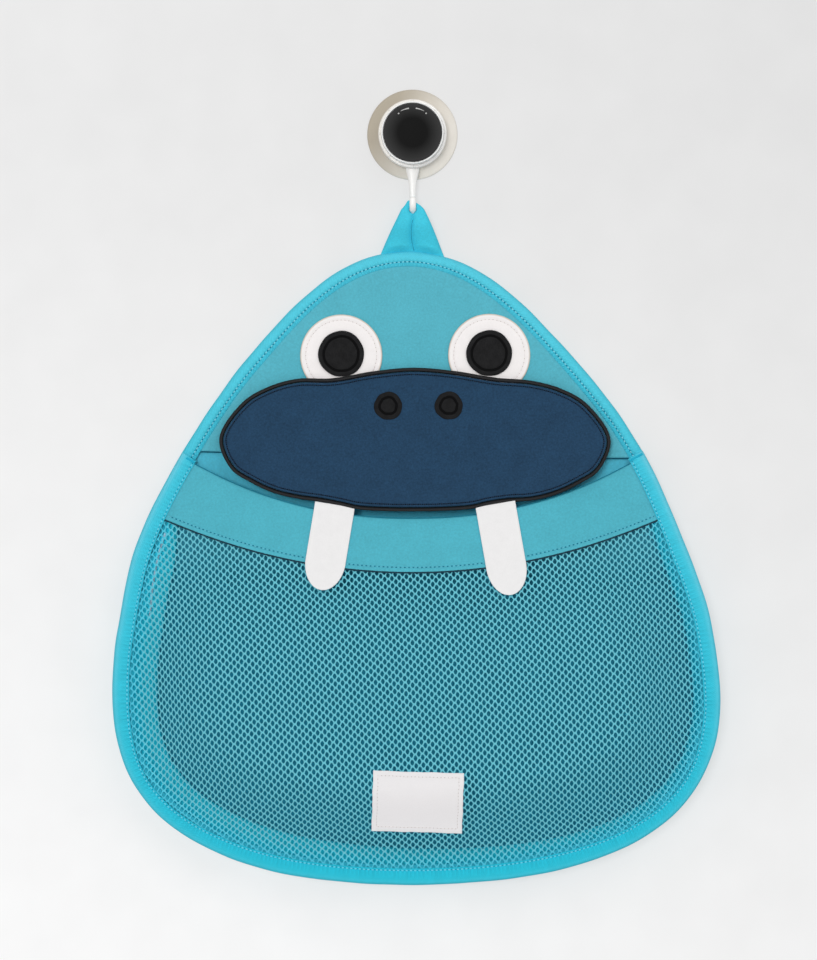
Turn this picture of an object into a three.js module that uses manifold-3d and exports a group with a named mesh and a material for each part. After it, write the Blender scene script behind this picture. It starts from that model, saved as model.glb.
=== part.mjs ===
// Hanging bath toy organizer: a bound fabric bag with a gusseted mesh pocket and an animal face,
// on a twist-lock suction hook. Millimetres, +Z up, front towards -Y.
// The origin is the centre of the suction cup, on the wall.
import * as THREE from 'three';
import { mergeVertices } from 'three/addons/utils/BufferGeometryUtils.js';
import Module from 'manifold-3d';

const wasm = await Module();
wasm.setup();

// Fit
const CLEARANCE = 0.3;
const WALL_GAP = 0.8;
const LAYER_GAP = 0.5;

// Bag outline, as drops below its top edge and half widths
const BAG_DROP = 77.5;
const BAG_WIDTH = 400;
const BAG_HEIGHT = 418;
const WIDEST_DROP = 296.6;
const FLANK_HALF_WIDTH = 108;
const FLANK_DROP = 70.6;
const FLANK_ANGLE = 48.9;
const CROWN_HANDLE = 48;
const FLANK_HANDLE_UP = 40.5;
const FLANK_HANDLE_DOWN = 81.5;
const WIDEST_HANDLE_UP = 81;
const WIDEST_HANDLE_DOWN = 82;
const BASE_HANDLE = 128;

// Sewn layers
const PANEL_THICK = 2.4;
const TAPE_THICK = 0.9;
const TAPE_FOLD = 1.6;
const GUSSET_THICK = 1;
const NET_THICK = 0.7;
const BAND_THICK = 2;
const PATCH_THICK = 1.4;
const BACK_BINDING_WIDTH = 10;
const POCKET_BINDING_WIDTH = 11;
const SEAM_DEPTH = 7;
const EDGE_SEAT = 0.8;

// Pocket
const HEM_DROP = 133;
const POCKET_DROP = 136;
const GUSSET_START = 12;
const RIM_RUN = 130;
const RIM_DEPTH = 30;
const OVERHANG = 10.5;
const STEP_RUN = 70;
const POCKET_SWAY = 6;
const MOUTH_BOW = 12;
const BELLY_BULGE = 25;
const BELLY_RUN = 110;
const MOUTH_RISE = 70;
const BELLY_RISE = 55;
const BAND_TOP_DROP = 177;
const BAND_TOP_SAG = 38;
const BAND_TOP_POWER = 2.3;
const BAND_BOTTOM_DROP = 212;
const BAND_BOTTOM_SAG = 33.5;
const BAND_BOTTOM_POWER = 2;
const BAND_SAG_SPAN = 152;
const BAND_RABBET = 6;
const NET_PITCH_X = 20.5;
const NET_PITCH_Z = 21.5;
const NET_STRAND = 3;
const NET_MARGIN = 2.5;
const LABEL_WIDTH = 60;
const LABEL_HEIGHT = 41;
const LABEL_RISE = 54.5;

// Face
const EYE_SPREAD = 49;
const EYE_DROP = 69.5;
const EYE_RADIUS = 27.2;
const PUPIL_DROP = 67.8;
const PUPIL_RADIUS = 15.2;
const MUZZLE_DROP = 77.2;
const MUZZLE_WIDTH = 257;
const MUZZLE_HEIGHT = 95;
const MUZZLE_LEAN = 20;
const MUZZLE_LEAN_POWER = 1.5;
const MUZZLE_TUCK = 0.15;
const MUZZLE_THICK = 2;
const LINING_THICK = 1.2;
const PIPING_RADIUS = 1.6;
const PIPING_FLANGE = 5;
const PIPING_TAPE = 0.6;
const NOSTRIL_SPREAD = 20;
const NOSTRIL_SHIFT = 2;
const NOSTRIL_BELOW = 25.3;
const NOSTRIL_RADIUS = 9.3;
const TUSK_SPREAD = 53;
const TUSK_WIDTH = 26.5;
const TUSK_LENGTH = 57;
const TUSK_TIP = 19;
const TUSK_LEAN = 9.5;
const TUSK_THICK = 1.6;

// Hanging loop
const LOOP_THICK = 2.4;
const LOOP_BASE = 41;
const LOOP_SHOULDER = 10.5;
const LOOP_WAIST_DROP = 8;
const LOOP_WALL = 2.4;
const LOOP_SLIT = 0.9;

// Suction hook
const CUP_RADIUS = 30;
const CUP_RIM = 1.2;
const CUP_SEAL = 3.5;
const CUP_HOLLOW = 3.2;
const CUP_FLOOR = 2.2;
const CUP_SHOULDER = 2.2;
const CUP_CONE_FALL = 3.1;
const CUP_KNEE = 0.6;
const BOSS_RADIUS = 8.6;
const STUD_RADIUS = 3;
const STUD_FLANGE = 6;
const STUD_FLANGE_THICK = 1;
const WEB_THICK = 2.5;
const COLLAR_RADIUS = 22.6;
const COLLAR_WALL = 1.7;
const COLLAR_STEP = 6;
const DETENTS = 8;
const DETENT_RADIUS = 0.7;
const WASHER_RADIUS = 12;
const WASHER_THICK = 1.2;
const KNOB_DEPTH = 16;
const KNOB_WALL = 1.6;
const KNOB_HUB = 9;
const KNOB_FACE = 1.4;
const KNOB_TRAVEL = 2;
const HUB_THREAD = 6.6;
const INLAY_INSET = 1.2;
const INLAY_THICK = 1;
const INLAY_DOME = 1;
const CLIP_THICK = 1.2;
const CLIP_WALL = 2.2;
const CLIP_GROOVE = 0.5;
const HOOK_BAR = 1.9;
const HOOK_ROOT_WIDTH = 8.7;
const HOOK_WAIST_WIDTH = 5.7;
const HOOK_WAIST_SHARE = 0.33;
const HOOK_CROOK = 4.2;
const HOOK_PIVOT_DROP = 50.3;
const HOOK_STANDOFF = 8.5;
const HOOK_TIP_RISE = 4.2;
const HOOK_TIP_ROUND = 0.9;

// Facets
const RING_STEPS = 64;
const POCKET_STEPS = 72;
const GUSSET_STEPS = 64;
const BAND_STEPS = 36;
const MUZZLE_STEPS = 44;
const ROUND_STEPS = 32;
const SMALL_STEPS = 24;
const HOLE_STEPS = 12;
const EDGE_SAMPLES = 240;
const LEAST_MITRE = 0.5;

const FABRIC_TEAL = material(0x55b4c7, 0.9);
const TAPE_CYAN = material(0x35bdd9, 0.75);
const NET_TEAL = material(0x63bccb, 0.8);
const NAVY = material(0x2a4663, 0.9);
const BLACK = material(0x232427, 0.85);
const WHITE_FELT = material(0xf0f0ee, 0.95);
const RUBBER = material(0xe0d6c4, 0.5);
const WHITE_PLASTIC = material(0xf1f1ef, 0.35);
const DARK_PLASTIC = material(0x2b2c2e, 0.4);
const STEEL = material(0xb9bcc0, 0.35, 1);

function material(color, roughness, metalness = 0) {
  return new THREE.MeshStandardMaterial({ color, roughness, metalness });
}

// Depths of the sewn stack at the bag's edge, from the wall to the front
const BACK_LEG = -WALL_GAP - TAPE_THICK;
const BACK_PANEL_BACK = BACK_LEG - CLEARANCE;
const BACK_PANEL_FRONT = BACK_PANEL_BACK - PANEL_THICK;
const FACE_BACK = BACK_PANEL_FRONT - CLEARANCE;
const FACE_FRONT = FACE_BACK - PANEL_THICK;
const BINDING_FRONT = FACE_FRONT - CLEARANCE - TAPE_THICK;
const BINDING_MIDDLE = (BINDING_FRONT - WALL_GAP) / 2;

// The pocket's rim: the net's middle is the datum of its layers
const BAND_FRONT = -NET_THICK / 2 - CLEARANCE - BAND_THICK / 2;
const BAND_BACK = BAND_FRONT + BAND_THICK;
const FLANGE_BACK = NET_THICK / 2 + LAYER_GAP + GUSSET_THICK;
const RIM_FRONT = BAND_FRONT - CLEARANCE - TAPE_THICK;
const RIM_BACK = FLANGE_BACK + CLEARANCE + TAPE_THICK;
const RIM_START = BINDING_FRONT - CLEARANCE - RIM_BACK;
const BULGE_START = POCKET_BINDING_WIDTH + EDGE_SEAT + GUSSET_THICK;

const smooth = (t) => THREE.MathUtils.smoothstep(t, 0, 1);
const heightAt = (drop) => -BAG_DROP - drop;
const dropAt = (z) => -BAG_DROP - z;
const vec2 = (x, y) => new THREE.Vector2(x, y);

// Solids from triangles, with shared vertices merged and the faces pointing out
function closed(geometry) {
  geometry.deleteAttribute('normal');
  geometry.deleteAttribute('uv');
  const merged = mergeVertices(geometry, 1e-4);
  const index = merged.index.array;
  const position = merged.attributes.position;
  const corner = [0, 1, 2].map(() => new THREE.Vector3());
  const kept = [];
  let volume = 0;
  for (let i = 0; i < index.length; i += 3) {
    const face = [index[i], index[i + 1], index[i + 2]];
    if (new Set(face).size < 3) continue;
    face.forEach((vertex, k) => corner[k].fromBufferAttribute(position, vertex));
    volume += corner[0].dot(corner[1].clone().cross(corner[2]));
    kept.push(face);
  }
  merged.setIndex(kept.flatMap((face) => (volume < 0 ? face.reverse() : face)));
  merged.computeVertexNormals();
  return merged;
}

function fromTriangles(points, triangles) {
  const geometry = new THREE.BufferGeometry();
  geometry.setAttribute('position', new THREE.Float32BufferAttribute(points.flatMap((p) => p.toArray()), 3));
  geometry.setIndex(triangles.flat());
  return closed(geometry);
}

function toManifold(geometry) {
  const vertProperties = Float32Array.from(geometry.attributes.position.array);
  const triVerts = Uint32Array.from(geometry.index.array);
  return new wasm.Manifold(new wasm.Mesh({ numProp: 3, vertProperties, triVerts }));
}

function fromManifold(solid) {
  const { vertProperties, triVerts } = solid.getMesh();
  const geometry = new THREE.BufferGeometry();
  geometry.setAttribute('position', new THREE.Float32BufferAttribute(vertProperties, 3));
  geometry.setIndex(Array.from(triVerts));
  return closed(geometry);
}

function join(first, ...others) {
  return fromManifold(others.reduce((sum, next) => sum.add(toManifold(next)), toManifold(first)));
}

// A flat section carried through a row of rings; an open row gets end caps
function loft(rings, capOutline) {
  const count = rings[0].length;
  const triangles = [];
  const last = capOutline ? rings.length - 1 : rings.length;
  for (let i = 0; i < last; i++) {
    const here = i * count;
    const next = ((i + 1) % rings.length) * count;
    for (let k = 0; k < count; k++) {
      const after = (k + 1) % count;
      triangles.push([here + k, here + after, next + after], [here + k, next + after, next + k]);
    }
  }
  if (capOutline) {
    const sense = Math.sign(THREE.ShapeUtils.area(capOutline));
    for (const face of THREE.ShapeUtils.triangulateShape(capOutline, [])) {
      const turned = areaOf(face.map((k) => capOutline[k])) * sense < 0 ? face.slice().reverse() : face;
      triangles.push(turned.slice().reverse(), turned.map((k) => k + last * count));
    }
  }
  return fromTriangles(rings.flat(), triangles);
}

const areaOf = (corners) => THREE.ShapeUtils.area(corners);

// Sheets: points and triangles in the XZ plane, thickened between two depth functions
function thicken(sheet, front, back) {
  const total = sheet.points.length;
  const triangles = [];
  const edges = new Map();
  for (const face of sheet.triangles) {
    const turned = areaOf(face.map((k) => sheet.points[k])) < 0 ? face.slice().reverse() : face;
    triangles.push(turned, turned.map((k) => k + total).reverse());
    turned.forEach((a, k) => edges.set(`${a},${turned[(k + 1) % 3]}`, [a, turned[(k + 1) % 3]]));
  }
  for (const [a, b] of edges.values()) {
    if (edges.has(`${b},${a}`)) continue;
    triangles.push([b, a, a + total], [b, a + total, b + total]);
  }
  const at = (depth) => sheet.points.map((p, k) => new THREE.Vector3(p.x, depth(p.x, p.y, k), p.y));
  return fromTriangles([...at(front), ...at(back)], triangles);
}

function polygonSheet(contour) {
  return { points: contour, triangles: THREE.ShapeUtils.triangulateShape(contour, []) };
}

// The front layer of a thickened sheet, as a sheet again
function frontLayer(geometry) {
  const position = geometry.attributes.position;
  const inFront = (k) => position.getY(k) < 0;
  const points = Array.from({ length: position.count }, (_, k) => vec2(position.getX(k), position.getZ(k)));
  const corners = Array.from(geometry.index.array);
  const triangles = [];
  while (corners.length) {
    const face = corners.splice(-3);
    if (face.every(inFront)) triangles.push(face);
  }
  return { points, triangles };
}

function stripTriangles(first, second, count) {
  const triangles = [];
  for (let k = 0; k < count; k++) {
    const after = (k + 1) % count;
    triangles.push([first + k, first + after, second + after], [first + k, second + after, second + k]);
  }
  return triangles;
}

// A sheet of rings shrinking to the middle, for patches that follow a curved surface
function ringedSheet(outline, rings) {
  const count = outline.length;
  const middle = outline.reduce((sum, p) => sum.add(p), vec2(0, 0)).divideScalar(count);
  const points = [];
  const triangles = [];
  for (let ring = 0; ring < rings; ring++) {
    points.push(...outline.map((p) => p.clone().lerp(middle, ring / rings)));
    if (ring > 0) triangles.push(...stripTriangles((ring - 1) * count, ring * count, count));
  }
  points.push(middle);
  const inner = (rings - 1) * count;
  for (let k = 0; k < count; k++) triangles.push([inner + k, inner + ((k + 1) % count), points.length - 1]);
  return { points, triangles };
}

function circle(x, z, radius) {
  const turn = (2 * Math.PI) / SMALL_STEPS;
  return Array.from({ length: SMALL_STEPS }, (_, k) => {
    return vec2(x + radius * Math.cos(k * turn), z + radius * Math.sin(k * turn));
  });
}

function revolve(profile, facets = ROUND_STEPS) {
  const points = profile.map(([radius, depth]) => vec2(radius, depth));
  return closed(new THREE.LatheGeometry(points, facets));
}

const steps = (count, from, to) => {
  return Array.from({ length: count + 1 }, (_, k) => THREE.MathUtils.lerp(from, to, k / count));
};

// The bag's outline, clockwise from the top centre as seen from the front
const outline = makeOutline();

function makeOutline() {
  const path = new THREE.CurvePath();
  const turn = THREE.MathUtils.degToRad(FLANK_ANGLE);
  const top = vec2(0, heightAt(0));
  const flank = vec2(FLANK_HALF_WIDTH, heightAt(FLANK_DROP));
  const along = vec2(Math.cos(turn), -Math.sin(turn));
  const widest = vec2(BAG_WIDTH / 2, heightAt(WIDEST_DROP));
  const base = vec2(0, heightAt(BAG_HEIGHT));
  const right = [
    [top, vec2(CROWN_HANDLE, top.y), flank.clone().addScaledVector(along, -FLANK_HANDLE_UP), flank],
    [
      flank,
      flank.clone().addScaledVector(along, FLANK_HANDLE_DOWN),
      vec2(widest.x, widest.y + WIDEST_HANDLE_UP),
      widest,
    ],
    [widest, vec2(widest.x, widest.y - WIDEST_HANDLE_DOWN), vec2(BASE_HANDLE, base.y), base],
  ];
  const left = right.map((points) => points.map((p) => vec2(-p.x, p.y)).reverse()).reverse();
  for (const points of [...right, ...left]) path.add(new THREE.CubicBezierCurve(...points));
  return path;
}

// A point on the outline at u, 0 to 1, moved in from the edge
function edge(u, inset) {
  const tangent = outline.getTangent(u);
  return outline.getPoint(u).add(vec2(tangent.y, -tangent.x).multiplyScalar(inset));
}

// The back panel steps in below the pocket's corners, and the gusset leans out from it, more on the left
function stepIn(u) {
  const at = outline.getPoint(u);
  const sway = (2 * POCKET_SWAY * at.x) / BAG_WIDTH;
  return (OVERHANG - sway) * smooth((dropAt(at.y) - POCKET_DROP) / STEP_RUN);
}

const backEdge = (u, inset) => edge(u, stepIn(u) + inset);

// The u where the right side of the inset outline first meets a test of its points
function firstAlong(inset, test) {
  let low = 0;
  let high = 0.5;
  while (high - low > 1e-6) {
    const middle = (low + high) / 2;
    if (test(edge(middle, inset))) high = middle;
    else low = middle;
  }
  return high;
}

const edgeSamples = steps(EDGE_SAMPLES, 0, 1).map((u) => edge(u, 0));

// Distance in from the outline, negative outside it
function insetAt(x, z) {
  const here = new THREE.Vector3(x, z, 0);
  const span = new THREE.Line3();
  const nearest = new THREE.Vector3();
  let least = Infinity;
  let inside = false;
  for (let k = 1; k < edgeSamples.length; k++) {
    const [a, b] = [edgeSamples[k - 1], edgeSamples[k]];
    span.start.set(a.x, a.y, 0);
    span.end.set(b.x, b.y, 0);
    span.closestPointToPoint(here, true, nearest);
    least = Math.min(least, nearest.distanceTo(here));
    const crosses = a.y > z !== b.y > z && x < a.x + ((b.x - a.x) * (z - a.y)) / (b.y - a.y);
    if (crosses) inside = !inside;
  }
  return inside ? least : -least;
}

// The pocket's front surface: its rim stands away from the wall and its middle bulges
const rimDepth = (z) => {
  return THREE.MathUtils.lerp(RIM_START, -RIM_DEPTH, smooth((dropAt(z) - POCKET_DROP) / RIM_RUN));
};

function pocketFront(x, z) {
  const swell = smooth((dropAt(z) - BAND_TOP_DROP) / BELLY_RUN);
  const bulge = THREE.MathUtils.lerp(MOUTH_BOW, BELLY_BULGE, swell);
  const rise = THREE.MathUtils.lerp(MOUTH_RISE, BELLY_RISE, swell);
  return rimDepth(z) - bulge * smooth((insetAt(x, z) - BULGE_START) / rise);
}

const bandTop = (x) => {
  return heightAt(BAND_TOP_DROP - BAND_TOP_SAG * Math.abs(x / BAND_SAG_SPAN) ** BAND_TOP_POWER);
};
const bandBottom = (x) => {
  return heightAt(BAND_BOTTOM_DROP - BAND_BOTTOM_SAG * Math.abs(x / BAND_SAG_SPAN) ** BAND_BOTTOM_POWER);
};

// Folded tape: a channel section, as inset from the edge and depth from its middle
function tapeSection(width, half) {
  const slot = half - TAPE_THICK;
  const fold = Math.min(TAPE_FOLD, half);
  return [
    vec2(width, half), vec2(fold, half), vec2(0, half - fold),
    vec2(0, fold - half), vec2(fold, -half), vec2(width, -half),
    vec2(width, -slot), vec2(TAPE_THICK, -slot), vec2(TAPE_THICK, slot), vec2(width, slot),
  ];
}

const sewnSeat = TAPE_THICK + EDGE_SEAT;

function backBinding() {
  const section = tapeSection(BACK_BINDING_WIDTH, (-WALL_GAP - BINDING_FRONT) / 2);
  const rings = steps(RING_STEPS, 0, 1).slice(0, RING_STEPS).map((u) => section.map((p) => {
    const at = backEdge(u, p.x);
    return new THREE.Vector3(at.x, BINDING_MIDDLE + p.y, at.y);
  }));
  return loft(rings);
}

function backPanel() {
  const contour = steps(RING_STEPS, 0, 1).slice(0, RING_STEPS).map((u) => backEdge(u, sewnSeat));
  return thicken(polygonSheet(contour), () => BACK_PANEL_FRONT, () => BACK_PANEL_BACK);
}

function facePanel() {
  const hem = heightAt(HEM_DROP);
  const end = firstAlong(sewnSeat, (p) => p.y < hem);
  const contour = steps(RING_STEPS / 2, -end, end).map((u) => edge(u < 0 ? u + 1 : u, sewnSeat));
  return thicken(polygonSheet(contour), () => FACE_FRONT, () => FACE_BACK);
}

const pocketStart = firstAlong(0, (p) => p.y < heightAt(POCKET_DROP));

function pocketBinding() {
  const half = (RIM_BACK - RIM_FRONT) / 2;
  const section = tapeSection(POCKET_BINDING_WIDTH, half);
  const rings = steps(POCKET_STEPS, pocketStart, 1 - pocketStart).map((u) => section.map((p) => {
    const at = edge(u, p.x);
    return new THREE.Vector3(at.x, rimDepth(at.y) + RIM_BACK - half + p.y, at.y);
  }));
  return loft(rings, section);
}

// A strip of cloth: a line of points thickened both ways along its mitred normals
function clothStrip(line, thick) {
  const normals = line.map((p, k) => {
    const before = line[Math.max(k - 1, 0)].clone().sub(line[Math.max(k, 1)]).multiplyScalar(-1).normalize();
    const after = line[Math.min(k + 1, line.length - 1)].clone();
    after.sub(line[Math.min(k, line.length - 2)]).normalize();
    const bisector = before.clone().add(after).normalize();
    const mitre = thick / 2 / Math.max(bisector.dot(after), LEAST_MITRE);
    return vec2(-bisector.y, bisector.x).multiplyScalar(mitre);
  });
  const left = line.map((p, k) => p.clone().add(normals[k]));
  const right = line.map((p, k) => p.clone().sub(normals[k]));
  return [...left, ...right.reverse()];
}

// The gusset's edges are turned out and caught in both bindings
function pocketGusset() {
  const begin = firstAlong(0, (p) => p.y < heightAt(POCKET_DROP + GUSSET_START));
  const backLayer = FACE_BACK - GUSSET_THICK / 2;
  const turnOut = EDGE_SEAT + GUSSET_THICK;
  const sections = steps(GUSSET_STEPS, begin, 1 - begin).map((u) => {
    const flange = (inset) => vec2(inset, rimDepth(edge(u, inset).y) + FLANGE_BACK - GUSSET_THICK / 2);
    const inner = Math.max(stepIn(u) + BACK_BINDING_WIDTH, POCKET_BINDING_WIDTH) + turnOut;
    const line = [
      vec2(inner - SEAM_DEPTH, backLayer),
      vec2(inner, backLayer),
      vec2(inner, BINDING_FRONT - GUSSET_THICK),
      flange(POCKET_BINDING_WIDTH + turnOut),
      flange(POCKET_BINDING_WIDTH + turnOut - SEAM_DEPTH),
    ];
    return { u, strip: clothStrip(line, GUSSET_THICK) };
  });
  const rings = sections.map(({ u, strip }) => strip.map((p) => {
    const at = edge(u, p.x);
    return new THREE.Vector3(at.x, p.y, at.y);
  }));
  return loft(rings, sections[0].strip);
}

const rimInset = POCKET_BINDING_WIDTH + EDGE_SEAT - SEAM_DEPTH;

// The collar band: its ends are caught in the binding and its lower edge laps the net
function pocketBand() {
  const topEnd = edge(firstAlong(rimInset, (p) => p.y < bandTop(p.x)), rimInset).x;
  const bottomEnd = edge(firstAlong(rimInset, (p) => p.y < bandBottom(p.x)), rimInset).x;
  const lap = BAND_RABBET / (BAND_BOTTOM_DROP - BAND_TOP_DROP);
  const lapBack = -NET_THICK / 2 - LAYER_GAP;
  const section = [
    vec2(0, BAND_FRONT), vec2(lap, BAND_FRONT), vec2((1 + lap) / 2, BAND_FRONT), vec2(1, BAND_FRONT),
    vec2(1, BAND_BACK), vec2((1 + lap) / 2, BAND_BACK), vec2(lap, BAND_BACK), vec2(lap, lapBack),
    vec2(0, lapBack),
  ];
  const rings = steps(BAND_STEPS, -1, 1).map((share) => {
    const low = vec2(share * bottomEnd, bandBottom(share * bottomEnd));
    const high = vec2(share * topEnd, bandTop(share * topEnd));
    return section.map((p) => {
      const at = low.clone().lerp(high, p.x);
      return new THREE.Vector3(at.x, pocketFront(at.x, at.y) + p.y, at.y);
    });
  });
  return loft(rings, section);
}

// The net: a plain rim under the binding and the band, and staggered diamond gaps inside it
function netRing(inset, lift) {
  const end = firstAlong(inset, (p) => p.y < bandBottom(p.x) + lift);
  const side = steps(POCKET_STEPS, end, 1 - end).map((u) => edge(u, inset));
  const reach = side[0].x;
  const top = steps(BAND_STEPS, -reach, reach).slice(1, -1).map((x) => vec2(x, bandBottom(x) + lift));
  return [...side, ...top];
}

function netGaps() {
  const reach = (NET_PITCH_X * NET_PITCH_Z) / Math.hypot(NET_PITCH_X, NET_PITCH_Z);
  const share = 1 - NET_STRAND / reach;
  const across = (share * NET_PITCH_X) / 2;
  const up = (share * NET_PITCH_Z) / 2;
  const border = BULGE_START + NET_MARGIN;
  const clearOf = (p) => p.y < bandBottom(p.x) - 2 * NET_MARGIN && insetAt(p.x, p.y) > border;
  const rows = Math.ceil((2 * BAG_HEIGHT) / NET_PITCH_Z);
  const columns = Math.ceil(BAG_WIDTH / NET_PITCH_X);
  const gaps = [];
  for (let row = 0; row < rows; row++) {
    for (let column = -columns; column <= columns; column++) {
      const x = (column + (row % 2) / 2) * NET_PITCH_X;
      const z = heightAt(BAND_TOP_DROP) - (row * NET_PITCH_Z) / 2;
      const gap = [vec2(x, z + up), vec2(x - across, z), vec2(x, z - up), vec2(x + across, z)];
      if (gap.every(clearOf)) gaps.push(gap);
    }
  }
  return gaps;
}

// The blank is cut flat, with its rim flared so that the ring inside the rim stays in the mesh
function meshPocket() {
  const outer = netRing(rimInset, BAND_RABBET - EDGE_SEAT);
  const inner = netRing(BULGE_START + NET_MARGIN / 2, -NET_MARGIN);
  const count = outer.length;
  const body = polygonSheet(inner).triangles.map((face) => face.map((k) => k + count));
  const blank = { points: [...outer, ...inner], triangles: [...stripTriangles(0, count, count), ...body] };
  const flared = (x, z, k) => (k < count ? 2 : 1) * NET_THICK;
  const gaps = netGaps();
  const halves = (k) => [[k, k + 1, k + 2], [k, k + 2, k + 3]];
  const cutter = {
    points: gaps.flat(),
    triangles: gaps.flatMap((gap, k) => halves(gap.length * k)),
  };
  const through = () => 2 * NET_THICK;
  const bothWays = (sheet, depth) => toManifold(thicken(sheet, (...at) => -depth(...at), depth));
  const cut = frontLayer(fromManifold(bothWays(blank, flared).subtract(bothWays(cutter, through))));
  const layer = (shift) => (x, z) => pocketFront(x, z) + shift;
  return thicken(cut, layer(-NET_THICK / 2), layer(NET_THICK / 2));
}

// A sheet of equal columns and rows, for what lies on the bulging net
function gridSheet(left, low, width, height, columns, rows) {
  const points = [];
  const triangles = [];
  for (let row = 0; row <= rows; row++) {
    for (let column = 0; column <= columns; column++) {
      points.push(vec2(left + (column * width) / columns, low + (row * height) / rows));
      if (row === rows || column === columns) continue;
      const here = row * (columns + 1) + column;
      const above = here + columns + 1;
      triangles.push([here, here + 1, above + 1], [here, above + 1, above]);
    }
  }
  return { points, triangles };
}

function label() {
  const low = heightAt(BAG_HEIGHT) + LABEL_RISE - LABEL_HEIGHT / 2;
  const back = (x, z) => pocketFront(x, z) - NET_THICK / 2 - CLEARANCE;
  const sheet = gridSheet(-LABEL_WIDTH / 2, low, LABEL_WIDTH, LABEL_HEIGHT, 4, 8);
  return thicken(sheet, (x, z) => back(x, z) - TAPE_THICK, back);
}

// A round patch on the face panel, or on another patch
function flatPatch(x, drop, radius, back) {
  return thicken(polygonSheet(circle(x, heightAt(drop), radius)), () => back - PATCH_THICK, () => back);
}

const eyeBack = FACE_FRONT - CLEARANCE;
const pupilBack = eyeBack - PATCH_THICK - CLEARANCE;

// The muzzle flap: it lies on the eyes at its top and leans out over the pocket's mouth
const liningBack = PIPING_TAPE / 2 + CLEARANCE + LINING_THICK;
const muzzleTop = heightAt(MUZZLE_DROP);
const muzzleSeat = eyeBack - PATCH_THICK - CLEARANCE - liningBack;
const muzzleOutline = makeMuzzleOutline();

function makeMuzzleOutline() {
  const rightHalf = [
    [0, 0], [0.2, 0.022], [0.42, 0.079], [0.6, 0.092], [0.75, 0.15], [0.88, 0.255], [1, 0.505],
    [0.94, 0.72], [0.84, 0.813], [0.72, 0.888], [0.6, 0.928], [0.48, 0.938], [0.38, 0.957],
    [0.29, 0.984], [0.13, 0.998], [0, 1],
  ];
  const leftHalf = rightHalf.slice(1, -1).map(([x, z]) => [-x, z]).reverse();
  const points = [...rightHalf, ...leftHalf].map(([x, z]) => {
    return new THREE.Vector3((x * MUZZLE_WIDTH) / 2, 0, muzzleTop - z * MUZZLE_HEIGHT);
  });
  return new THREE.CatmullRomCurve3(points, true, 'centripetal');
}

function muzzleEdge(u, inset) {
  const at = muzzleOutline.getPointAt(u % 1);
  const tangent = muzzleOutline.getTangentAt(u % 1);
  return vec2(at.x + tangent.z * inset, at.z - tangent.x * inset);
}

function muzzleMiddle(x, z) {
  const down = THREE.MathUtils.clamp((muzzleTop - z) / MUZZLE_HEIGHT, 0, 1);
  const tuck = 1 - MUZZLE_TUCK * ((2 * x) / MUZZLE_WIDTH) ** 2;
  return muzzleSeat - MUZZLE_LEAN * down ** MUZZLE_LEAN_POWER * tuck;
}

const muzzleStations = steps(MUZZLE_STEPS, 0, 1).slice(0, MUZZLE_STEPS);

function muzzleLayer(front, back) {
  const contour = muzzleStations.map((u) => muzzleEdge(u, 2 * PIPING_RADIUS + CLEARANCE));
  const layer = (shift) => (x, z) => muzzleMiddle(x, z) + shift;
  return thicken(ringedSheet(contour, 3), layer(front), layer(back));
}

const muzzleFront = -PIPING_TAPE / 2 - CLEARANCE - MUZZLE_THICK;

// Piping: a round cord with a flat tape that runs in between the flap's two layers
function muzzlePiping() {
  const tape = PIPING_TAPE / 2;
  const start = Math.asin(tape / PIPING_RADIUS);
  const foot = PIPING_RADIUS * (1 + Math.cos(start));
  const round = steps(8, start, 2 * Math.PI - start).slice(1, -1).map((turn) => {
    return vec2(PIPING_RADIUS * (1 + Math.cos(turn)), PIPING_RADIUS * Math.sin(turn));
  });
  const section = [
    vec2(foot + PIPING_FLANGE, tape), vec2(foot, tape), ...round, vec2(foot, -tape),
    vec2(foot + PIPING_FLANGE, -tape),
  ];
  const rings = muzzleStations.map((u) => section.map((p) => {
    const at = muzzleEdge(u, p.x);
    return new THREE.Vector3(at.x, muzzleMiddle(at.x, at.y) + p.y, at.y);
  }));
  return loft(rings);
}

function nostril(side) {
  const middle = side * NOSTRIL_SPREAD + NOSTRIL_SHIFT;
  const contour = circle(middle, muzzleTop - NOSTRIL_BELOW, NOSTRIL_RADIUS);
  const back = (x, z) => muzzleMiddle(x, z) + muzzleFront - CLEARANCE;
  return thicken(ringedSheet(contour, 2), (x, z) => back(x, z) - PATCH_THICK, back);
}

// A tusk hangs from the piping at the flap's lower seam and lies on the pocket
function tuskTop() {
  const lower = steps(EDGE_SAMPLES, 0.25, 0.5).map((u) => muzzleEdge(u, 0));
  return lower.find((p) => p.x < TUSK_SPREAD).y;
}

function tusk(side) {
  const lean = THREE.MathUtils.degToRad(TUSK_LEAN);
  const down = vec2(Math.sin(lean), -Math.cos(lean));
  const across = vec2(Math.cos(lean), Math.sin(lean));
  const top = vec2(TUSK_SPREAD, tuskTop()).addScaledVector(down, EDGE_SEAT);
  const straight = TUSK_LENGTH - TUSK_TIP;
  const place = (a, d) => top.clone().addScaledVector(across, a).addScaledVector(down, d);
  const half = TUSK_WIDTH / 2;
  const leftSide = steps(3, 0, straight).slice(0, 3).map((d) => place(-half, d));
  const tip = steps(8, Math.PI, 0).map((turn) => {
    return place(half * Math.cos(turn), straight + TUSK_TIP * Math.sin(turn));
  });
  const rightSide = steps(3, straight, 0).slice(1).map((d) => place(half, d));
  const seam = steps(3, half, -half).slice(1, -1).map((a) => place(a, 0));
  const contour = [...leftSide, ...tip, ...rightSide, ...seam].map((p) => vec2(side * p.x, p.y));
  const back = (x, z) => pocketFront(x, z) + BAND_FRONT - CLEARANCE;
  return thicken(ringedSheet(contour, 3), (x, z) => back(x, z) - TUSK_THICK, back);
}

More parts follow.
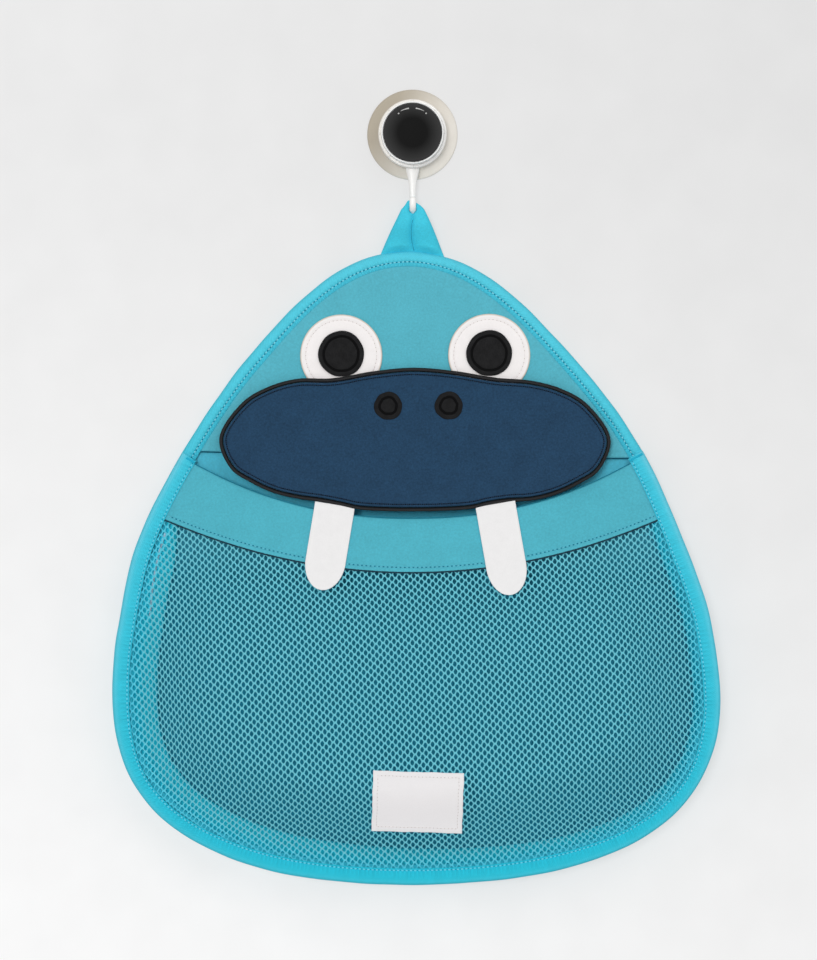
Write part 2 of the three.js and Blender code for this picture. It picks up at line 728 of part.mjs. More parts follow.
// The loop: a folded tape that hangs in the hook's crook and leans back to the bag's top edge
const hookPivot = -HOOK_PIVOT_DROP;
const hookMiddle = -HOOK_STANDOFF - HOOK_CROOK;
const crookInside = HOOK_CROOK - HOOK_BAR;
const barRise = crookInside - Math.sqrt(Math.max(crookInside ** 2 - (LOOP_THICK / 2) ** 2, 0));
const loopHole = (HOOK_BAR + CLEARANCE + barRise) / Math.cos(Math.PI / HOLE_STEPS);

function hangingLoop() {
  const crown = hookPivot + loopHole + LOOP_WALL;
  const foot = (x) => {
    const u = firstAlong(0, (p) => p.x > Math.abs(x));
    return edge(u, 0).y + CLEARANCE;
  };
  const outer = new THREE.CubicBezierCurve(
    vec2(LOOP_BASE / 2, foot(LOOP_BASE / 2)),
    vec2(LOOP_SHOULDER, hookPivot - LOOP_WAIST_DROP),
    vec2(LOOP_SHOULDER, crown),
    vec2(0, crown),
  ).getPoints(10);
  const slit = LOOP_SLIT / 2;
  const drop = Math.sqrt(loopHole ** 2 - slit ** 2);
  const start = Math.asin(slit / loopHole);
  const hole = steps(HOLE_STEPS, start, 2 * Math.PI - start).map((turn) => {
    return vec2(-loopHole * Math.sin(turn), hookPivot - loopHole * Math.cos(turn));
  });
  const slitSide = steps(5, foot(0), hookPivot - drop).slice(0, 5);
  const half = (sign, points) => points.map((p) => vec2(sign * p.x, p.y));
  const base = steps(3, slit, LOOP_BASE / 2).slice(1, 3).map((x) => vec2(x, foot(x)));
  const contour = [
    ...half(1, outer), ...half(-1, outer.slice(0, -1)).reverse(), ...half(-1, base).reverse(),
    ...slitSide.map((z) => vec2(-slit, z)), ...hole, ...slitSide.map((z) => vec2(slit, z)).reverse(), ...base,
  ];
  const bottom = hookPivot - HOOK_BAR - HOOK_CROOK;
  const lean = (z) => smooth((bottom - z) / (bottom - heightAt(0)));
  const middle = (z) => THREE.MathUtils.lerp(hookMiddle, BINDING_MIDDLE, lean(z));
  return thicken(
    polygonSheet(contour),
    (x, z) => middle(z) - LOOP_THICK / 2,
    (x, z) => middle(z) + LOOP_THICK / 2,
  );
}

// Suction hook: depths from the wall to the front of the knob
const pocketFloor = -CUP_HOLLOW - CUP_FLOOR;
const studFlangeBack = pocketFloor - CLEARANCE;
const studFlangeFront = studFlangeBack - STUD_FLANGE_THICK;
const cupShoulder = studFlangeFront - CLEARANCE - CUP_SHOULDER / 2;
const webBack = cupShoulder - CLEARANCE;
const webFront = webBack - WEB_THICK;
const washerBack = webFront - CLEARANCE;
const washerFront = washerBack - WASHER_THICK;
const hubBack = washerFront - CLEARANCE;
const hubFront = hubBack - HUB_THREAD;
const knobBack = webFront - CLEARANCE;
const knobFront = knobBack - KNOB_DEPTH;
const recess = knobFront + INLAY_INSET;
const clipBack = hubFront - KNOB_TRAVEL - CLEARANCE;
const clipFront = clipBack - CLIP_THICK;
const studFront = clipFront - CLEARANCE - CLIP_THICK / 2;
const studBore = STUD_RADIUS + CLEARANCE;
const knobRadius = COLLAR_RADIUS - COLLAR_WALL - CLEARANCE;
const clipInner = STUD_RADIUS - CLIP_GROOVE + CLEARANCE;
const clipOuter = STUD_RADIUS + CLIP_WALL;
const collarFront = webFront - COLLAR_STEP;
const cupConeEnd = COLLAR_RADIUS - COLLAR_WALL;
const cupConeFront = webBack + CUP_CONE_FALL;

function suctionCup() {
  const bore = STUD_FLANGE + CLEARANCE;
  return revolve([
    [0, pocketFloor], [bore, pocketFloor], [bore, studFlangeFront - CLEARANCE],
    [studBore, studFlangeFront - CLEARANCE], [studBore, webFront], [BOSS_RADIUS - CLEARANCE, webFront],
    [BOSS_RADIUS, webFront + CLEARANCE], [BOSS_RADIUS, cupShoulder], [WASHER_RADIUS, cupShoulder],
    [cupConeEnd, cupConeFront], [CUP_RADIUS - CUP_RIM, -2 * CUP_RIM], [CUP_RADIUS, -CUP_RIM],
    [CUP_RADIUS, 0], [CUP_RADIUS - CUP_SEAL, 0], [CUP_RADIUS * CUP_KNEE, -CUP_HOLLOW * CUP_KNEE],
    [0, -CUP_HOLLOW],
  ]);
}

function cupStud() {
  const neck = STUD_RADIUS - CLIP_GROOVE;
  return revolve([
    [0, studFlangeBack], [STUD_FLANGE, studFlangeBack], [STUD_FLANGE, studFlangeFront],
    [STUD_RADIUS, studFlangeFront], [STUD_RADIUS, clipBack + CLEARANCE], [neck, clipBack + CLEARANCE],
    [neck, clipFront - CLEARANCE], [STUD_RADIUS, clipFront - CLEARANCE], [STUD_RADIUS, studFront],
    [0, studFront],
  ], SMALL_STEPS);
}

function ringOf(inner, outer, back, front) {
  return revolve([[inner, back], [outer, back], [outer, front], [inner, front], [inner, back]], SMALL_STEPS);
}

// The hook's bar: a J from the collar down, round the crook and up to its tip
function hookArm() {
  const bottom = hookPivot + HOOK_CROOK;
  const waist = THREE.MathUtils.lerp(-COLLAR_RADIUS, bottom, HOOK_WAIST_SHARE);
  const stations = [
    { depth: -HOOK_STANDOFF, z: -COLLAR_RADIUS + COLLAR_WALL / 2, width: HOOK_ROOT_WIDTH / 2, tilt: 0 },
    { depth: -HOOK_STANDOFF, z: -COLLAR_RADIUS - COLLAR_WALL, width: HOOK_ROOT_WIDTH / 2, tilt: 0 },
    { depth: -HOOK_STANDOFF, z: waist, width: HOOK_WAIST_WIDTH / 2, tilt: 0 },
  ];
  for (const turn of steps(8, 0, Math.PI)) {
    stations.push({
      depth: hookMiddle + HOOK_CROOK * Math.cos(turn),
      z: bottom - HOOK_CROOK * Math.sin(turn),
      width: HOOK_BAR,
      tilt: turn,
    });
  }
  const tip = { depth: hookMiddle - HOOK_CROOK, tilt: Math.PI };
  stations.push({ ...tip, z: bottom + HOOK_TIP_RISE - HOOK_TIP_ROUND, width: HOOK_BAR });
  stations.push({ ...tip, z: bottom + HOOK_TIP_RISE, width: HOOK_BAR - HOOK_TIP_ROUND });
  const section = steps(10, 0, 2 * Math.PI).slice(0, 10).map((turn) => vec2(Math.cos(turn), Math.sin(turn)));
  const rings = stations.map(({ depth, z, width, tilt }) => section.map((p) => {
    const out = Math.min(width, HOOK_BAR) * p.y;
    return new THREE.Vector3(width * p.x, depth + out * Math.cos(tilt), z - out * Math.sin(tilt));
  }));
  return loft(rings, section);
}

function hookBracket() {
  const inner = BOSS_RADIUS + CLEARANCE;
  const wall = COLLAR_RADIUS - COLLAR_WALL;
  const skirt = cupConeFront - 2 * CLEARANCE;
  const collar = revolve([
    [inner, webBack], [wall, webBack], [wall, skirt], [COLLAR_RADIUS, skirt], [COLLAR_RADIUS, collarFront],
    [wall, collarFront], [wall, webFront], [inner, webFront], [inner, webBack],
  ]);
  const detents = steps(DETENTS, 0, 2 * Math.PI).slice(0, DETENTS).map((turn) => {
    const bump = closed(new THREE.IcosahedronGeometry(DETENT_RADIUS, 1));
    const reach = COLLAR_RADIUS - COLLAR_WALL / 2;
    return bump.translate(reach * Math.cos(turn), collarFront, reach * Math.sin(turn));
  });
  return join(collar, hookArm(), ...detents);
}

function lockKnob() {
  const shell = knobRadius - KNOB_WALL;
  const seat = clipOuter + CLEARANCE;
  const inlay = knobRadius - INLAY_INSET;
  return revolve([
    [studBore, hubBack], [KNOB_HUB, hubBack], [KNOB_HUB, recess + KNOB_FACE], [shell, recess + KNOB_FACE],
    [shell, knobBack], [knobRadius, knobBack], [knobRadius, knobFront + INLAY_INSET],
    [knobRadius - INLAY_INSET / 2, knobFront], [inlay, knobFront], [inlay, recess], [seat, recess],
    [seat, hubFront], [studBore, hubFront], [studBore, hubBack],
  ]);
}

function knobInlay() {
  const radius = knobRadius - INLAY_INSET - CLEARANCE;
  const back = recess - CLEARANCE;
  const front = back - INLAY_THICK;
  const dome = steps(4, 1, 0).map((share) => [radius * share, front - INLAY_DOME * (1 - share ** 2)]);
  return revolve([[0, back], [radius, back], ...dome]);
}

const organizer = new THREE.Group();

function place(group, name, geometry, finish) {
  const mesh = new THREE.Mesh(geometry, finish);
  mesh.name = name;
  group.add(mesh);
}

function addHook() {
  const hook = new THREE.Group();
  place(hook, 'suction_cup', suctionCup(), RUBBER);
  place(hook, 'cup_stud', cupStud(), STEEL);
  place(hook, 'hook_bracket', hookBracket(), WHITE_PLASTIC);
  place(hook, 'thrust_washer', ringOf(studBore, WASHER_RADIUS, washerBack, washerFront), STEEL);
  place(hook, 'lock_knob', lockKnob(), WHITE_PLASTIC);
  place(hook, 'knob_inlay', knobInlay(), DARK_PLASTIC);
  place(hook, 'stud_clip', ringOf(clipInner, clipOuter, clipBack, clipFront), STEEL);
  organizer.add(hook);
}

function addBag() {
  const bag = new THREE.Group();
  place(bag, 'hanging_loop', hangingLoop(), TAPE_CYAN);
  place(bag, 'back_panel', backPanel(), FABRIC_TEAL);
  place(bag, 'face_panel', facePanel(), FABRIC_TEAL);
  place(bag, 'back_binding', backBinding(), TAPE_CYAN);
  place(bag, 'pocket_gusset', pocketGusset(), TAPE_CYAN);
  place(bag, 'pocket_binding', pocketBinding(), TAPE_CYAN);
  place(bag, 'pocket_band', pocketBand(), FABRIC_TEAL);
  place(bag, 'mesh_pocket', meshPocket(), NET_TEAL);
  place(bag, 'label', label(), WHITE_FELT);
  organizer.add(bag);
}

function addFace() {
  const face = new THREE.Group();
  for (const [side, end] of [[-1, 'left'], [1, 'right']]) {
    place(face, `eye_${end}`, flatPatch(side * EYE_SPREAD, EYE_DROP, EYE_RADIUS, eyeBack), WHITE_FELT);
    place(face, `pupil_${end}`, flatPatch(side * EYE_SPREAD, PUPIL_DROP, PUPIL_RADIUS, pupilBack), BLACK);
    place(face, `nostril_${end}`, nostril(side), BLACK);
    place(face, `tusk_${end}`, tusk(side), WHITE_FELT);
  }
  place(face, 'muzzle_panel', muzzleLayer(muzzleFront, muzzleFront + MUZZLE_THICK), NAVY);
  place(face, 'muzzle_lining', muzzleLayer(liningBack - LINING_THICK, liningBack), NAVY);
  place(face, 'muzzle_piping', muzzlePiping(), BLACK);
  organizer.add(face);
}

addHook();
addBag();
addFace();

export default organizer;
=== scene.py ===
"""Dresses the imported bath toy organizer: sewn cloth, a diamond net, felt patches and a moulded hook."""

import math

import bmesh
import bpy
import numpy as np
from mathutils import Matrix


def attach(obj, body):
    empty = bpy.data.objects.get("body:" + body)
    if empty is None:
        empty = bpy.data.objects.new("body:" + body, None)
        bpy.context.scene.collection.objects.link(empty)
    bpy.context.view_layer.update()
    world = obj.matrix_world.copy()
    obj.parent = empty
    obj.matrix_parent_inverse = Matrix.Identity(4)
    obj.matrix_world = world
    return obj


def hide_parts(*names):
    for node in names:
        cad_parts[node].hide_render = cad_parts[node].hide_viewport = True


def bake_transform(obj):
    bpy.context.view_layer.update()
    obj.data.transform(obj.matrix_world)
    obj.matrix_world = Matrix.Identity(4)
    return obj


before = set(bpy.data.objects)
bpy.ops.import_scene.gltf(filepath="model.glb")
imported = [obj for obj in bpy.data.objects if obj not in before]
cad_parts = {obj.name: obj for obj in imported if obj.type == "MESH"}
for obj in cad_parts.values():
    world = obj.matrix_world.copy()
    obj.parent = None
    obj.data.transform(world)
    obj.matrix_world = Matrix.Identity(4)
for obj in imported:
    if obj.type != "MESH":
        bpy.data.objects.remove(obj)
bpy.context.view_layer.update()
MM = 0.001
FRONT = (0, -1, 0)

# Bag outline in millimetres, as in the part's source
BAG_DROP = 77.5
BAG_WIDTH = 400
BAG_HEIGHT = 418
WIDEST_DROP = 296.6
FLANK = (108, 70.6)
FLANK_ANGLE = 48.9
CROWN_HANDLE = 48
FLANK_HANDLES = (40.5, 81.5)
WIDEST_HANDLES = (81, 82)
BASE_HANDLE = 128

# How far the sewn edge strays sideways at each drop
STRAY_DROPS = (0, 70, 120, 190, 250, 310, 395, 418)
STRAY = (-3.4, -2.2, -0.9, -2.6, 0.2, 1.1, 1.1, -0.6)

# Sewn layers: thicknesses, widths, and depths from back to front
PANEL_THICK = 2.4
TAPE_THICK = 0.9
TAPE_FOLD = 3.0
TAPE_SWELL = 0.55
TAPE_PUCKER = 0.16
PUCKER_RUN = 46
TAPE_GATHERS = 0.05
TAPE_WANDER = 0.35
WANDER_RUN = 90
GUSSET_THICK = 1.0
NET_THICK = 0.7
PATCH_THICK = 1.4
BACK_BINDING = 10
POCKET_BINDING = 11
SEAM_DEPTH = 7
RIM_SEAM = 1.3
RIM_CORNER = (358, 32)
RIM_NARROW = 0.14
RIM_TIPS = {"left": 132.5, "right": 132.8}
RIM_TACKS = {"left": (4.5, 10.8), "right": (1.2, 10.8)}
EDGE_SEAT = 0.8
SEWN_SEAT = TAPE_THICK + EDGE_SEAT
BACK_PANEL = -2.0
FACE_PANEL = (-4.7, -7.1)
EDGE_ROLL = 0.9
ROLL_RISE = (7.5, 3.5)
ROLL_FALL = (12, 20)
BACK_TAPE = (-0.8, -8.3)
FLANGE_BACK = -5.2
GUSSET_BACK = -9.3
GUSSET_RIPPLE = (70, 0.5)
RIM_SEAT = 0.85
LIP_TURN = 0.2
FLANGE_BEND = 1.2
LIP_BEND = 1.0

# Pocket
HEM_DROP = 134.5
HEM_SAG = 1.6
HEM_TILT = 3.1
HEM_PROUD = 0.3
POCKET_DROP = 136
GUSSET_DROP = 148
RIM_RUN = 130
RIM_START = -11.65
RIM_DEPTH = -30
OVERHANG = 10.5
STEP_RUN = 70
POCKET_SWAY = 6
MOUTH_BOW = 12
BELLY_BULGE = 25
BELLY_RUN = 110
MOUTH_RISE = 70
BELLY_RISE = 55
BULGE_START = 12.8
RIM_TAPE = (3.05, -2.85)
BAND_FRONT = -1.65
BAND_BACK = 0.35
BAND_TOP = (177, 40.5, 2.2)
BAND_BOTTOM = (212, 30, 2)
BAND_SAG_SPAN = 152
BAND_LAP = 6
BAND_SEAM = 3.0
RIM_INSET = 4.8
NET_PITCH = (4.75, 5.0)
NET_GAP = (2.5, 3.9)
NET_GAP_PINCH = 0.9
NET_SKEW = (0.085, -0.13)
NET_RIM = (10, 21)
NET_HEADROOM = 45
NET_COLUMNS = 60
NET_SPARE_ROWS = 12
NET_MERGE = 0.05
FAR_ASIDE = 1e4
# Painted highlight on the gusset's fold: the drops and insets where it starts and ends
FOLD_HIGHLIGHT = ((180, 14.8), (238, 19))
LABEL_SIZE = (60, 41)
LABEL_DROP = BAG_HEIGHT - 55.5
LABEL_SHIFT = 1.5
LABEL_TURN = -2.0
LABEL_SEAM = 3.2
LABEL_LIFT = 0.25

# Face
EYE_SPREAD = 49
EYE_SHIFT = 1.2
EYE = (68.9, 27.2, 23.5)
PUPIL = (67.8, 15.2, 11.5)
NOSTRIL = (20, 25.3, 9.3, 5.6)
NOSTRIL_SHIFT = 3.2
NOSTRIL_LIFT = 0.3
HAND_CUT = 0.3
SEAM_SINK = 0.45
EYE_SEAM_SINK = 0.3
EYE_BACK = -7.4
PUPIL_BACK = -9.1
MUZZLE_DROP = 77.2
MUZZLE_SIZE = (257, 95)
MUZZLE_LIFT = 0.02
MUZZLE_REACH = 1.012
MUZZLE_SEAT = -10.9
MUZZLE_LEAN = 20
MUZZLE_FRONT = -2.6
MUZZLE_SEAM = 1.8
LINING_BACK = 1.8
PIPING_RADIUS = 1.35
MUZZLE_EDGE = 2 * PIPING_RADIUS + 0.1
TUSK_SPREAD = 53.1
TUSK_TOP = -245.8
TUSK_SIZE = (26.5, 57, 19)
TUSK_TUCK = 0.9
TUSK_LEAN = 9.5
TUSK_THICK = 1.6
TUSK_LIFT = 0.35
TUSK_STRAY = {"left": (0.9, -1.2), "right": (0.5, 2.6)}

# Loop and hook
LOOP_BASE = 44.2
LOOP_LEAN = -0.7
LOOP_KINK = (7.6, 4.7)
LOOP_BOW = 0.5
LOOP_PEAK = (-3.2, 2.0)
LOOP_PEAK_RISE = 2.1
LOOP_THICK = 2.4
LOOP_WALL = 2.4
LOOP_PUFF = 2.3
LOOP_FOOT = -4.55
LOOP_HOLE = 2.63
LOOP_EYE = 2.15
HOOK_PIVOT = -50.3
HOOK_MIDDLE = -12.7
HOOK_CROOK = 4.2
HOOK_BAR = 1.9
HOOK_STANDOFF = 8.5
HOOK_TIP_RISE = 4.2
HOOK_TIP = 2.15
COLLAR_FRONT = -16.9
DETENT_RING = 21.75
KNOB_SIDES = 120
INLAY_RADIUS = 19.35
INLAY_EDGE = -27.3

# Thread
STITCH_PITCH = 2.8
STITCH_RADIUS = 0.46
FINE_STITCH = 0.24
LABEL_PITCH = 2.4
EYE_PITCH = 2.6
FRONT_SINK = 0.2
BACK_SINK = 0.1
THREAD_SHARE = 0.55
HOLE_SHARE = 0.42
RIB_PITCH = 1.5
RIB_LEAN = 9
CRUMPLE = 7

# Drawn edges, seams and lines of painted shade and highlight: half the width and height of each cord, and how
# far it stands out
HEM_SHADOW_CORD = (0.45, 0.7)
TACK_CORD = (0.75, 0.45)
TACK_RISE = 0.4
FOLD_HIGHLIGHT_CORD = (0.8, 0.4)
FOLD_HIGHLIGHT_RISE = 0.9
PATCH_CORD = (1.2, 0.35)
CREASE_CORD = (0.6, 0.35)
CREASE_RISE = 0.3

# Photograph
PHOTO_HEIGHT = 960
PHOTO_SCALE = 0.66
PHOTO_CENTRE = (-3.6, -229.0)
PHOTO_PLANE = -20
PHOTO_ROLL = 0.25
CAMERA_DISTANCE = 3.6
WALL_GLOW = 0.65
SKY_STRENGTH = 0.54


def smooth(t):
    t = np.clip(t, 0, 1)
    return t * t * (3 - 2 * t)


def mix(a, b, t):
    return a + (b - a) * t


def hump(x, middle, spread):
    return np.exp(-(((x - middle) / spread) ** 2))


def height_at(drop):
    return -BAG_DROP - drop


def drop_at(z):
    return -BAG_DROP - z


def unit(vectors):
    return vectors / np.linalg.norm(vectors, axis=-1, keepdims=True)


def paired(x, z):
    """Plane points from their places across and their heights."""
    return np.stack(np.broadcast_arrays(x, z), -1)


def right_of(ahead):
    ahead = unit(ahead)
    return paired(ahead[..., 1], -ahead[..., 0])


def turns(count):
    return np.linspace(0, 2 * math.pi, count, endpoint=False)


def space(plane, depth):
    """Space points from plane points and their depths."""
    return np.stack([plane[..., 0], np.broadcast_to(depth, plane.shape[:-1]), plane[..., 1]], -1)


def laid(surface, plane, lift=0):
    """Plane points at the depths that a surface gives them, moved by a lift."""
    return space(plane, surface(plane) + lift)


def flat(depth):
    return lambda plane: np.full(plane.shape[:-1], float(depth))


def bezier(points, count=160):
    t = np.linspace(0, 1, count)[:, None]
    a, b, c, d = (np.array(p, float) for p in points)
    return a * (1 - t) ** 3 + 3 * b * t * (1 - t) ** 2 + 3 * c * t * t * (1 - t) + d * t**3


class Line:
    """A closed plane line followed by its share of length; inside lies on its right."""

    def __init__(self, points):
        self.points = np.array(points, float)
        run = np.linalg.norm(np.diff(self.points, axis=0), axis=1)
        self.length = run.sum()
        self.share = np.concatenate([[0], np.cumsum(run)]) / self.length

    def at(self, u):
        u = np.mod(u, 1)
        return paired(*(np.interp(u, self.share, places) for places in self.points.T))

    def inset(self, u, distance):
        u = np.asarray(u)
        inward = right_of(self.at(u + 2e-3) - self.at(u - 2e-3))
        return self.at(u) + inward * np.asarray(distance, float)[..., None]


def stray_at(drop):
    drops, strays = np.array(STRAY_DROPS), np.array(STRAY)
    k = np.clip(np.searchsorted(drops, drop, "right") - 1, 0, len(drops) - 2)
    return mix(strays[k], strays[k + 1], smooth((drop - drops[k]) / (drops[k + 1] - drops[k])))


def make_outline():
    turn = math.radians(FLANK_ANGLE)
    along = np.array([math.cos(turn), -math.sin(turn)])
    top = np.array([0, height_at(0)])
    flank = np.array([FLANK[0], height_at(FLANK[1])])
    widest = np.array([BAG_WIDTH / 2, height_at(WIDEST_DROP)])
    base = np.array([0, height_at(BAG_HEIGHT)])
    right = np.concatenate([
        bezier([top, top + [CROWN_HANDLE, 0], flank - along * FLANK_HANDLES[0], flank])[:-1],
        bezier([flank, flank + along * FLANK_HANDLES[1], widest + [0, WIDEST_HANDLES[0]], widest])[:-1],
        bezier([widest, widest - [0, WIDEST_HANDLES[1]], base + [BASE_HANDLE, 0], base]),
    ])
    whole = np.concatenate([right, (right * [-1, 1])[::-1][1:]])
    whole[:, 0] += stray_at(drop_at(whole[:, 1]))
    return Line(whole)


OUTLINE = make_outline()
EDGE = OUTLINE.at(np.linspace(0, 1, 361))


def step_in(u):
    point = OUTLINE.at(u)
    reach = OVERHANG - 2 * POCKET_SWAY * point[..., 0] / BAG_WIDTH
    return reach * smooth((drop_at(point[..., 1]) - POCKET_DROP) / STEP_RUN)


def band_edge(x, drop, sag, power):
    return height_at(drop - sag * np.abs(x / BAND_SAG_SPAN) ** power)


def first_below(drop, inset=0, side=1, sag=0, power=1):
    """The share where the outline's right side, or its left for -1, moved in, first falls below an edge."""
    u = np.linspace(0, 0.5 * side, 4001)
    points = OUTLINE.inset(u, inset)
    return u[np.argmax(points[:, 1] < band_edge(points[:, 0], drop, sag, power))]


def inset_at(plane):
    """Distance in from the outline, negative outside it."""
    spots = plane.reshape(-1, 2)
    start, span = EDGE[:-1], np.diff(EDGE, axis=0)
    found = []
    for part in np.array_split(spots, len(spots) // 8000 + 1):
        away = part[:, None] - start
        share = np.clip((away * span).sum(-1) / (span**2).sum(-1), 0, 1)
        gap = ((away - share[..., None] * span) ** 2).sum(-1)
        row, near = np.arange(len(part)), gap.argmin(1)
        side = span[near, 0] * away[row, near, 1] - span[near, 1] * away[row, near, 0]
        found.append(np.sqrt(gap[row, near]) * np.where(side < 0, 1, -1))
    return np.concatenate(found).reshape(plane.shape[:-1])


def rim_depth(z):
    return mix(RIM_START, RIM_DEPTH, smooth((drop_at(z) - POCKET_DROP) / RIM_RUN))


def pocket_front(plane):
    z = plane[..., 1]
    swell = smooth((drop_at(z) - BAND_TOP[0]) / BELLY_RUN)
    rise = smooth((inset_at(plane) - BULGE_START) / mix(MOUTH_RISE, BELLY_RISE, swell))
    return rim_depth(z) - mix(MOUTH_BOW, BELLY_BULGE, swell) * rise


def waves(run, length, size, seed):
    """A smooth seeded ripple along a run, size high, about length between crests."""
    draw = np.random.default_rng(seed)
    total = np.zeros_like(run)
    for k in range(1, 4):
        total += draw.uniform(0.4, 1) * np.sin(run * 2 * math.pi * k / length + draw.uniform(0, 6.3)) / k
    return total * size / 1.5


# Mesh building
def make_object(name, mesh, finish, body, node=None, crease=40, marks=()):
    """A smooth piece from points in millimetres and faces, which stands for a node where one is named."""
    points, faces = mesh
    data = bpy.data.meshes.new(name)
    data.from_pydata((np.asarray(points) * MM).tolist(), [], faces)
    data.validate()
    data.update()
    data.shade_smooth()
    data.set_sharp_from_angle(angle=math.radians(crease))
    for mark, values in dict(marks).items():
        data.attributes.new(mark, "FLOAT", "POINT").data.foreach_set("value", np.ravel(values))
    data.materials.append(finish)
    piece = bpy.data.objects.new(name, data)
    bpy.context.scene.collection.objects.link(piece)
    if body:
        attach(piece, body)
    if node:
        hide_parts(node)
    return piece


def joined(meshes):
    points, faces, start = [], [], 0
    for spots, sides in meshes:
        points.append(spots)
        faces += [[k + start for k in side] for side in sides]
        start += len(spots)
    return np.concatenate(points), faces


def facing_out(points, faces):
    fans = np.array([(f[0], b, c) for f in faces for b, c in zip(f[1:-1], f[2:])])
    a, b, c = points[fans].transpose(1, 0, 2)
    if (a * np.cross(b, c)).sum() < 0:
        faces = [face[::-1] for face in faces]
    return points, faces


def grid_faces(rows, columns, wrap_rows=False, wrap_columns=False):
    i, k = np.mgrid[:rows - (not wrap_rows), :columns - (not wrap_columns)].reshape(2, -1)
    here, below, after = i * columns, (i + 1) % rows * columns, (k + 1) % columns
    return np.stack([here + k, here + after, below + after, below + k], -1).tolist()


def loft(rings, closed=False):
    """Closed sections carried through a row of rings."""
    rings = np.asarray(rings)
    rows, columns = rings.shape[:2]
    faces = grid_faces(rows, columns, closed, True)
    if not closed:
        faces += [list(range(columns))[::-1], list(range((rows - 1) * columns, rows * columns))]
    return facing_out(rings.reshape(-1, 3), faces)


def lathe(profile, count=96):
    """A closed profile of radius and depth, turned about the hook's axis."""
    radius, depth = np.array(profile, float).T
    turn = turns(count)[:, None]
    return loft(space(paired(radius * np.cos(turn), radius * np.sin(turn)), depth), True)


def tube(line, wide, high, closed=False):
    """An oval cord along a space line that lies about square to the depth."""
    line = np.asarray(line, float)
    ahead = np.roll(line, -1, 0) - np.roll(line, 1, 0) if closed else np.gradient(line, axis=0)
    across = unit(np.cross(ahead, FRONT))[:, None]
    turn = turns(8)[:, None]
    return loft(line[:, None] + wide * np.cos(turn) * across + high * np.sin(turn) * np.array(FRONT), closed)


def signed_area(loop):
    x, z = loop.T
    return (x * np.roll(z, -1) - np.roll(x, -1) * z).sum() / 2


def patch(loop, profile, surface, shares=np.linspace(0.15, 0.9, 6), crown=0.0):
    """A soft patch: its loop steps in by the profile's insets and rises by its heights on a surface.
    The back lies on the surface, and the middle is filled by rings that shrink to a crowned point."""
    inward = right_of(np.roll(loop, -1, 0) - np.roll(loop, 1, 0))
    if signed_area(loop) > 0:
        inward = -inward
    middle = loop.mean(0)
    rings = [(loop + inward * inset, height) for inset, height in profile]
    inner, top = rings[-1]
    rings += [(mix(inner, middle, t), top + crown * (1 - (1 - t) ** 2)) for t in shares]
    rings = rings[::-1] + [(ring, 0) for ring, _ in rings]
    tips = [(middle[None], top + crown), (middle[None], 0)]
    points = np.concatenate([laid(surface, plane, -lift) for plane, lift in rings + tips])
    count, last = len(loop), (len(rings) - 1) * len(loop)
    faces = grid_faces(len(rings), count, wrap_columns=True)
    for k in range(count):
        after = (k + 1) % count
        faces += [[last + count, after, k], [last + count + 1, last + k, last + after]]
    return facing_out(points, faces)


def circle(x, z, radius, count):
    turn = turns(count)
    return paired(x + radius * np.cos(turn), z + radius * np.sin(turn))


def rounded_edge(thick, radius, steps=4):
    """The profile of a cut edge: from its foot up a rounded shoulder to the top."""
    turn = np.linspace(0, math.pi / 2, steps)
    return [(radius * (1 - math.cos(t)), thick - radius * (1 - math.sin(t))) for t in turn]


def stitch_row(line, out, pitch, length, radius, closed, shift):
    """Threads laid end to end along a space line, dipping into the cloth at both ends."""
    if closed:
        line = np.concatenate([line, line[:1]])
    run = np.concatenate([[0], np.cumsum(np.linalg.norm(np.diff(line, axis=0), axis=1))])
    count = int(run[-1] // pitch)
    middle = (np.arange(count) + 0.5 + shift) * run[-1] / count

    def along(s):
        return np.stack([np.interp(s, run, line[:, k]) for k in range(3)], -1)

    across = np.cross(unit(along(middle + 0.2) - along(middle - 0.2)), out)
    share = np.array([-1, -0.62, 0, 0.62, 1])
    size = radius * np.array([0.4, 0.95, 1, 0.95, 0.4])
    spots = along(middle[:, None] + share * length / 2) + (radius * (0.5 - 1.1 * share**2))[:, None] * out
    turn = turns(6)[:, None]
    ring = np.cos(turn) * across[:, None, None] + np.sin(turn) * out
    points = spots[:, :, None] + size[:, None, None] * ring
    _, faces = loft(points[0])
    return joined([(rings.reshape(-1, 3), faces) for rings in points])


def sew(name, line, threads, body, out=FRONT, pitch=STITCH_PITCH, radius=STITCH_RADIUS, closed=False):
    """A seam: a row of threads and the sunken needle holes between them, drawn as darker cords in painted
    shade.
    """
    out = np.array(out, float)
    rows = (("stitches", 0, THREAD_SHARE, 0), ("needle_holes", 0.5, HOLE_SHARE, 0.5))
    for finish, (part, sunk, share, shift) in zip(threads, rows):
        row = stitch_row(line - out * radius * sunk, out, pitch, pitch * share, radius, closed, shift)
        make_object(f"{name}_{part}", row, finish, body)


# Materials
def linear(*levels):
    """Linear light from sRGB levels."""
    share = np.array(levels) / 255
    return np.where(share <= 0.04045, share / 12.92, ((share + 0.055) / 1.055) ** 2.4)


